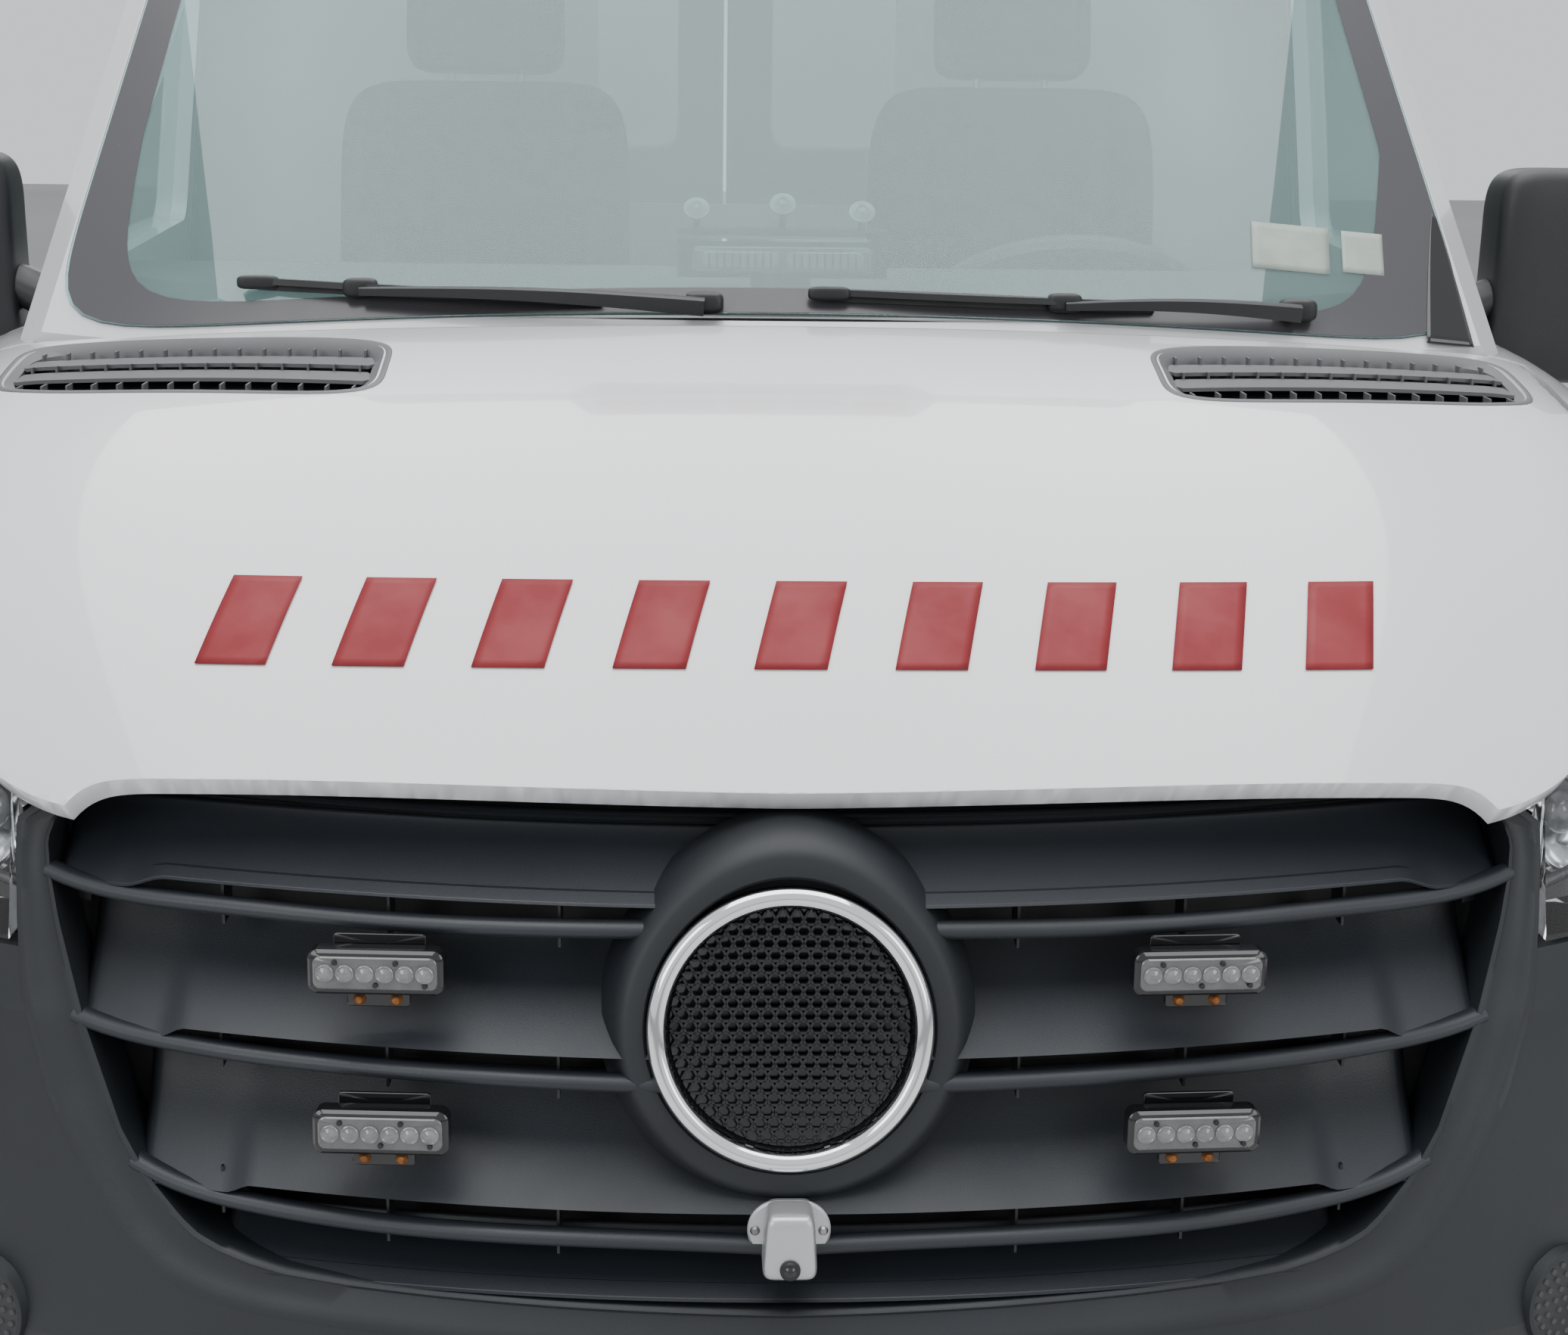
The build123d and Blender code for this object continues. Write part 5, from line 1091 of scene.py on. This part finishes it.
def tyre_grid(turns=420):
    """A tyre about the x axis: the section's radius, less 8 mm in four grooves round the tread, less 6
    mm across the tread wherever the angle's place in its block, shifted by the distance from the
    middle, falls in the first sixth."""
    half = [(w, r, 0.0) for w, r in TYRE_SIDE] + [(0.086, 0.3840, 1), (0.063, 0.3858, 1)]
    for middle in GROOVES:
        half += [(middle + 0.0045, 0.3860, 0), (middle + 0.0035, 0.378, 0), (middle - 0.0035, 0.378, 0),
                 (middle - 0.0045, 0.3864, 0)]
        if middle == GROOVES[0]:
            half += [(0.051, 0.3865, 1), (0.027, 0.3868, 1)]
    half += [(0.013, WHEEL_R, 0.6), (0.004, WHEEL_R, 0.0)]
    half = np.array(half)
    section = np.concatenate([half, (half * (-1, 1, 1))[::-1]])
    w, r, cut = section.T[:, :, None]
    angle = round_turns(turns)
    block = (angle * BLOCKS / (2 * np.pi) + 9.0 * np.abs(w) + 0.5 * (w > 0)) % 1
    r = r - 0.006 * cut * (block < 1 / 6)
    return np.stack([w + 0 * angle, r * np.cos(angle), r * np.sin(angle)], -1)


def wheel(half_width, station, axle, sign, side):
    """What a wheel carries: its tyre with tread, nuts on a circle, cap and valve."""
    centre = at(sign * half_width, station, WHEEL_R)
    outwards = (centre, (0, 1, 0), (sign, 0, 0))
    body = "wheel_" + axle + side
    grid = tyre_grid() * (sign, 1, 1) + centre
    tread = hoop("tread_" + axle + side, grid, tyre_rubber, body, "tyre", smooth=30)
    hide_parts("tyre_" + axle + side)
    nuts = []
    for turn in round_turns(NUT_COUNT):
        nut = lathe(NUT, 6) + (NUT_RADIUS * np.cos(turn), NUT_RADIUS * np.sin(turn), 0.056)
        nuts.append(placed(nut, *outwards))
    closed("wheel_nuts_" + axle + side, nuts, steel, body, "steel", smooth=25)
    cap = placed(lathe(CAP, 64), *outwards)
    closed("wheel_cap_" + axle + side, cap, grey_moulding, body, "rim_steel")
    valve = placed(tube(VALVE, 0.0035, 8), *outwards)
    closed("valve_" + axle + side, valve, rubber, body, "tyre")


for place in WHEELS:
    for sign, side in SIDES:
        wheel(*place, sign, side)


# Cab

SEAT_X = 0.42
# turns of a cushion and of a backrest with its headrest, as placed() takes them
LIE = (1, 0, 0), (0, -0.03, 1)
LEAN = (1, 0, 0), (0, -0.978, 0.208)
# stations and heights along a headrest's post
HEADREST_POST = (2.200, 2.212, 2.216), (1.600, 1.670, 1.720)
# station and height of the lamp on the dashboard
DASH_LAMP = (1.0105, 1.461)
# middles of its two groups of cells
DASH_GROUPS = (-0.033, 0.066)
# columns: half width and height of a stem's foot
STEMS = ((-0.084, 1.492), (0.0165, 1.498), (0.109, 1.490))
CUP = [(0, 0.002), (0.004, 0.0025), (0.0045, 0.004), (0.009, 0.0005), (0.0150, -0.001), (0.0155, -0.0022),
       (0, -0.0022)]
# columns: middle and half size of a blank label on the glass
LABELS = ((0.616, 1.4815, 0.048, 0.0255), (0.706, 1.475, 0.026, 0.023))
LABEL_TURN = -0.09


def pad(half, seam, rows=44, turns=96):
    """A cushion: a rounded block whose face is crowned and whose seams sink 5 mm at a share of the half
    width and at its end."""
    points = pebble(half, 0.30, rows, turns)
    x, y, z = np.moveaxis(points / np.asarray(half), -1, 0)
    face = np.clip(z, 0, 1) ** 2
    crown = 0.010 * (1 - x**2) * (1 - y**2)
    side_seam = 0.005 * np.exp(-(((np.abs(x) - seam) / 0.035) ** 2))
    end_seam = 0.005 * np.exp(-(((np.abs(y) - 0.72) / 0.03) ** 2))
    bolster = 0.012 * np.clip((np.abs(x) - seam) / (1 - seam), 0, 1) * (1 - x**2)
    points[..., 2] += face * (crown - side_seam - end_seam + bolster)
    return points


def seat(sign, side):
    """A cab seat: cushion, backrest, headrest on two posts, and the box it stands on."""
    x = sign * SEAT_X
    cushion = placed(pad((0.238, 0.236, 0.062), 0.66), at(x, 1.880, 1.064), *LIE)
    backrest = placed(pad((0.228, 0.296, 0.055), 0.64), at(x, 2.148, 1.356), *LEAN)
    headrest = placed(pad((0.124, 0.078, 0.042), 0.80, 32, 64), at(x, 2.216, 1.742), *LEAN)
    pads = (("seat_cushion_", cushion), ("seat_back_", backrest), ("headrest_", headrest))
    for name, grid in pads:
        soft = closed(name + side, grid, cloth, "body", "seat_fabric")
    posts = [tube(at(x + apart, *HEADREST_POST), 0.006, 10) for apart in (-0.055, 0.055)]
    closed("headrest_posts_" + side, posts, steel, "body", "steel")
    box = pebble((0.200, 0.192, 0.155), 0.14, 24, 48) + at(x, 1.890, 0.857)
    stand = closed("seat_box_" + side, box, black_trim, "body", "dash_plastic")
    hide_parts("seats")


def label(x0, z0, half_x, half_z):
    """A blank label turned a little on the glass."""
    u, v = np.meshgrid(np.linspace(-1, 1, 12), np.linspace(-1, 1, 8))
    cosine, sine = np.cos(LABEL_TURN), np.sin(LABEL_TURN)
    x = x0 + half_x * u * cosine - half_z * v * sine
    z = z0 + half_x * u * sine + half_z * v * cosine
    return on_glass(x, z, 0.0008)


for sign, side in SIDES:
    seat(sign, side)

# the warning lamp on the dashboard, its bracket and its suction cups
lamp_window = facing(plate(0.104, 0.0150, 0.004, 0.006, 0.3), 0.0165, *DASH_LAMP)
group = plate(0.0455, 0.0095, 0.003, 0.0090, 0.3) + (0, 0, 0.004)
flute = plate(0.0012, 0.0080, 0.002, 0.0011, 0.3, 12) + (0, 0, 0.007)
flutes = [facing(flute, x + d, *DASH_LAMP) for x in DASH_GROUPS for d in np.linspace(-0.036, 0.036, 9)]
closed("dash_lamp_window", lamp_window, led_face, "body", "lamp_clear")
closed("dash_lamp_groups", [facing(group, x, *DASH_LAMP) for x in DASH_GROUPS], led_cell, "body", "lamp_clear")
closed("dash_lamp_flutes", flutes, black_trim, "body", "lamp_black")
bracket = pebble((0.124, 0.012, 0.0045), 0.2, 12, 32) + at(0.0165, 1.034, 1.492)
stems = [tube(at(x, 1.034 - np.array([0, 0.008, 0.014]), z + np.array([0, 0.012, 0.026])), 0.004, 8)
         for x, z in STEMS]
closed("dash_lamp_bracket", bracket, black_trim, "body", "lamp_black")
closed("dash_lamp_stems", stems, black_trim, "body", "lamp_black")
cups = [placed(lathe(CUP, 40), at(x, 1.018, z + 0.028), (1, 0, 0), (0, -0.77, 0.64)) for x, z in STEMS]
closed("dash_lamp_cups", cups, led_cell, "body", "lamp_clear")
sheet("screen_labels", [label(*place) for place in LABELS], paper, "body", "lamp_clear", 0.0004)


# Fittings along the body

# height and half width of the load space's side
SIDE_Z = (0.33, 0.56, 0.85, 1.33, 1.35, 2.25)
SIDE_X = (0.985, 1.000, 1.010, 0.994, 0.984, 0.912)
REAR_FACE = 5.870
HANDLE_Z = 1.135
GRIP_SECTION = 0.5 * np.array([(-0.012, -0.024), (0.012, -0.024), (0.016, 0), (0.012, 0.024), (-0.012, 0.024)])
RAIL_SECTION = [(-0.004, -0.020), (0.006, -0.020), (0.008, -0.016), (0.008, 0.016), (0.006, 0.020),
                (-0.004, 0.020)]
# columns: how far a row of a window seal is drawn in, and its lift off the panel
SEAL_ROWS = [(-0.016, -0.0005), (-0.016, 0.0025), (-0.010, 0.0040), (0.004, 0.0040), (0.010, 0.0015),
             (0.010, -0.0025)]
# station and height of the side window's lower and upper corner
SIDE_WINDOW = np.array([2.560, 1.430]), np.array([3.540, 2.000])
# the warning lamps: half widths over the windscreen, stations along the sides, half widths over the
# rear doors
FRONT_LAMPS = (-0.23, -0.115, 0, 0.115, 0.23)
SIDE_LAMPS = (2.650, 4.400, 5.600)
REAR_LAMPS = (-0.6, 0.6)


def side_half(z):
    """Half width of the load space's side at a height."""
    return np.interp(z, SIDE_Z, SIDE_X)


def handle(name, sign, s, body):
    """A pull handle over a shallow cup on a side panel."""
    x = side_half(HANDLE_Z)
    cup = facing(plate(0.085, 0.036, 0.003, 0.034, 0.4), sign * (x - 0.001), s, HANDLE_Z, sign * np.pi / 2)
    run = np.linspace(-1, 1, 24)
    grip = tube(at(sign * (x + 0.024 * (1 - run**4)), s + 0.078 * run, HANDLE_Z), 1.0, section=GRIP_SECTION)
    closed(name + "_cup", cup, black_gloss, body, "trim_plastic")
    closed(name + "_grip", grip, black_trim, body, "trim_plastic")


def seal_loop(low, high, out, corner=0.055):
    """A rounded rectangle between two corners, drawn in by a width."""
    return ((low + high) / 2 + rounded(*((high - low) / 2 - out), corner, 128)).T


def side_seal():
    """The seal round a side window, on the side's own curve."""
    rows = []
    for out, lift in SEAL_ROWS:
        s, z = seal_loop(*SIDE_WINDOW, out)
        rows.append(at(side_half(z) + lift, s, z))
    return np.stack(rows)


def rear_seal(side):
    """The seal round a rear door's window, from that window's own box."""
    low, high = (np.array(corner)[[0, 2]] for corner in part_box("rear_door_glass_" + side))
    rows = []
    for out, lift in SEAL_ROWS:
        x, z = seal_loop(low, high, out)
        rows.append(at(x, REAR_FACE + lift, z))
    return np.stack(rows)


def lamp_faces():
    """The lenses of the warning lamps and the tail lamps: red, clear and amber."""
    reds, clears, ambers = [], [], []
    for k, x in enumerate(FRONT_LAMPS):
        face = facing(plate(0.0430, 0.0370, 0.006, 0.010, 0.3), x, 1.5885, 2.3425)
        (clears if k % 2 else reds).append(face)
    long_face = plate(0.094, 0.030, 0.005, 0.010, 0.3)
    for s in SIDE_LAMPS:
        for sign, _ in SIDES:
            reds.append(facing(long_face, sign * (side_half(2.18) + 0.0235), s, 2.165, sign * np.pi / 2))
    for x in REAR_LAMPS:
        reds.append(facing(plate(0.084, 0.025, 0.005, 0.010, 0.3), x, 5.8915, 2.470, np.pi))
    for sign, _ in SIDES:
        for z, group in ((0.960, clears), (1.062, ambers), (1.170, reds)):
            group.append(facing(plate(0.033, 0.044, 0.005, 0.008, 0.3), sign * 0.948, 5.8695, z, np.pi))
    return reds, clears, ambers


handle("door_handle_left", 1, 2.235, "front_door_left")
handle("door_handle_right", -1, 2.235, "front_door_right")
handle("sliding_handle", -1, 2.590, "body")
sliding_rail = tube(at(-0.9905, np.linspace(3.735, 5.640, 40), 1.345), 1.0, section=RAIL_SECTION)
closed("sliding_rail", sliding_rail, black_trim, "body", "trim_plastic")
for sign, side in SIDES:
    hinge = plate(0.050, 0.022, 0.009, 0.008, 0.3)
    hinges = [facing(hinge, sign * 0.845, REAR_FACE - 0.001, z, np.pi) for z in (0.760, 1.360, 2.150)]
    closed("rear_hinge_covers_" + side, hinges, black_trim, "rear_door_" + side, "trim_plastic")
pull = facing(plate(0.030, 0.090, 0.006, 0.012, 0.3), 0.070, REAR_FACE - 0.001, 1.150, np.pi)
run = np.linspace(-1, 1, 20)
pull_path = at(0.070, REAR_FACE + 0.006 + 0.022 * (1 - run**4), 1.150 + 0.070 * run)
pull_bar = tube(pull_path, 0.008, 10, up=(0, 1, 0))
closed("rear_handle_plate", pull, black_gloss, "rear_door_left", "trim_plastic")
closed("rear_handle_bar", pull_bar, black_trim, "rear_door_left", "trim_plastic")
hoop("window_seal_left", side_seal(), rubber, "body", "trim_plastic", smooth=60)
hoop("window_seal_right", flip(side_seal()), rubber, "body", "trim_plastic", smooth=60)
for _, side in SIDES:
    hoop("rear_seal_" + side, rear_seal(side), rubber, "rear_door_" + side, "trim_plastic", smooth=60)
red_faces, clear_faces, amber_faces = lamp_faces()
closed("red_lamp_faces", red_faces, lens_red, "body", "lamp_red")
closed("clear_lamp_faces", clear_faces, led_cell, "body", "lamp_clear")
closed("amber_lamp_faces", amber_faces, lens_amber, "body", "lamp_clear")


# Camera, light and floor

CAMERA_TURNS = np.radians((-2.05834, 13.20891, 0.756398))
CAMERA_PLACE = (-0.084457, -4.99181, 1.68583)
SENSOR_WIDTH = 36
# focal length and width of the picture, both in its pixels
FOCAL, PICTURE_WIDTH = 3403.06, 2072
# columns: name, place, what it looks at, size, power
LAMPS = [("overhead", (0, -1.0, 7.0), (0, -1.0, 0), (7, 11), 840),
         ("front_left", (-5.5, -8.5, 4.2), (0, -2.5, 1.0), (4, 4), 170),
         ("front_right", (5.5, -8.0, 3.2), (0, -2.5, 1.0), (4, 3), 110),
         ("behind", (0, 8.5, 4.0), (0, 2.0, 1.2), (6, 4), 160)]
FLOOR_HALF, FLOOR_Z = 30, -0.001


def set_up(name, data, axes, place):
    """An object in the scene whose axes and place are the columns of its matrix."""
    columns = np.eye(4)
    columns[:3] = np.stack([*axes, place], 1)
    holder = bpy.data.objects.new(name, data)
    holder.matrix_world = Matrix(columns.tolist())
    bpy.context.scene.collection.objects.link(holder)
    return holder


def view_axes(yaw, pitch, roll):
    """The camera's right, up and backward directions: turned level, then down, then about its own
    view."""
    level = np.array([np.cos(yaw), np.sin(yaw), 0])
    ahead = np.array([-np.sin(yaw), np.cos(yaw), 0])
    forward = np.cos(pitch) * ahead - np.sin(pitch) * np.array([0, 0, 1])
    upward = np.sin(pitch) * ahead + np.cos(pitch) * np.array([0, 0, 1])
    right = np.cos(roll) * level + np.sin(roll) * upward
    above = -np.sin(roll) * level + np.cos(roll) * upward
    return right, above, -forward


def lamp(name, place, aim, size, power):
    """A soft square light that looks at a point."""
    light = bpy.data.lights.new(name, "AREA")
    light.shape = "RECTANGLE"
    light.size, light.size_y = size
    light.energy = power
    z = np.array(place, float) - np.array(aim, float)
    z /= np.linalg.norm(z)
    x = np.cross((0, 1, 0), z)
    x /= np.linalg.norm(x)
    set_up(name, light, (x, np.cross(z, x), z), place)


def white_behind(tree, colour, strength, shown):
    """A background that shows white to the camera, mirrors and glass, and lights the object at a lower
    strength."""
    path = tree.nodes.new("ShaderNodeLightPath")
    total = path.outputs["Is Camera Ray"]
    for name in ("Is Glossy Ray", "Is Transmission Ray"):
        node = tree.nodes.new("ShaderNodeMath")
        node.operation = "MAXIMUM"
        tree.links.new(total, node.inputs[0])
        tree.links.new(path.outputs[name], node.inputs[1])
        total = node.outputs[0]
    node = tree.nodes.new("ShaderNodeMapRange")
    node.inputs["To Min"].default_value = strength
    node.inputs["To Max"].default_value = shown
    tree.links.new(total, node.inputs["Value"])
    back = tree.nodes["Background"]
    back.inputs["Color"].default_value = (*colour, 1)
    tree.links.new(node.outputs["Result"], back.inputs["Strength"])


view = bpy.data.cameras.new("view")
view.sensor_width = SENSOR_WIDTH
view.lens = SENSOR_WIDTH * FOCAL / PICTURE_WIDTH
bpy.context.scene.camera = set_up("view", view, view_axes(*CAMERA_TURNS), CAMERA_PLACE)
for row in LAMPS:
    lamp(*row)
world = bpy.data.worlds.new("studio")
world.use_nodes = True
bpy.context.scene.world = world
white_behind(world.node_tree, (0.93, 0.95, 0.97), 0.42, 0.96)

ground = bpy.data.meshes.new("studio_floor")
floor_corners = [(x * FLOOR_HALF, y * FLOOR_HALF, FLOOR_Z) for x, y in ((-1, -1), (1, -1), (1, 1), (-1, 1))]
ground.from_pydata(floor_corners, [], [(0, 1, 2, 3)])
studio_floor = bpy.data.objects.new("studio_floor", ground)
bpy.context.scene.collection.objects.link(studio_floor)
ground.materials.append(plain("pale_floor", (0.70, 0.70, 0.70), (0.68, 0.68, 0.68), 0.7, patch=0.3))
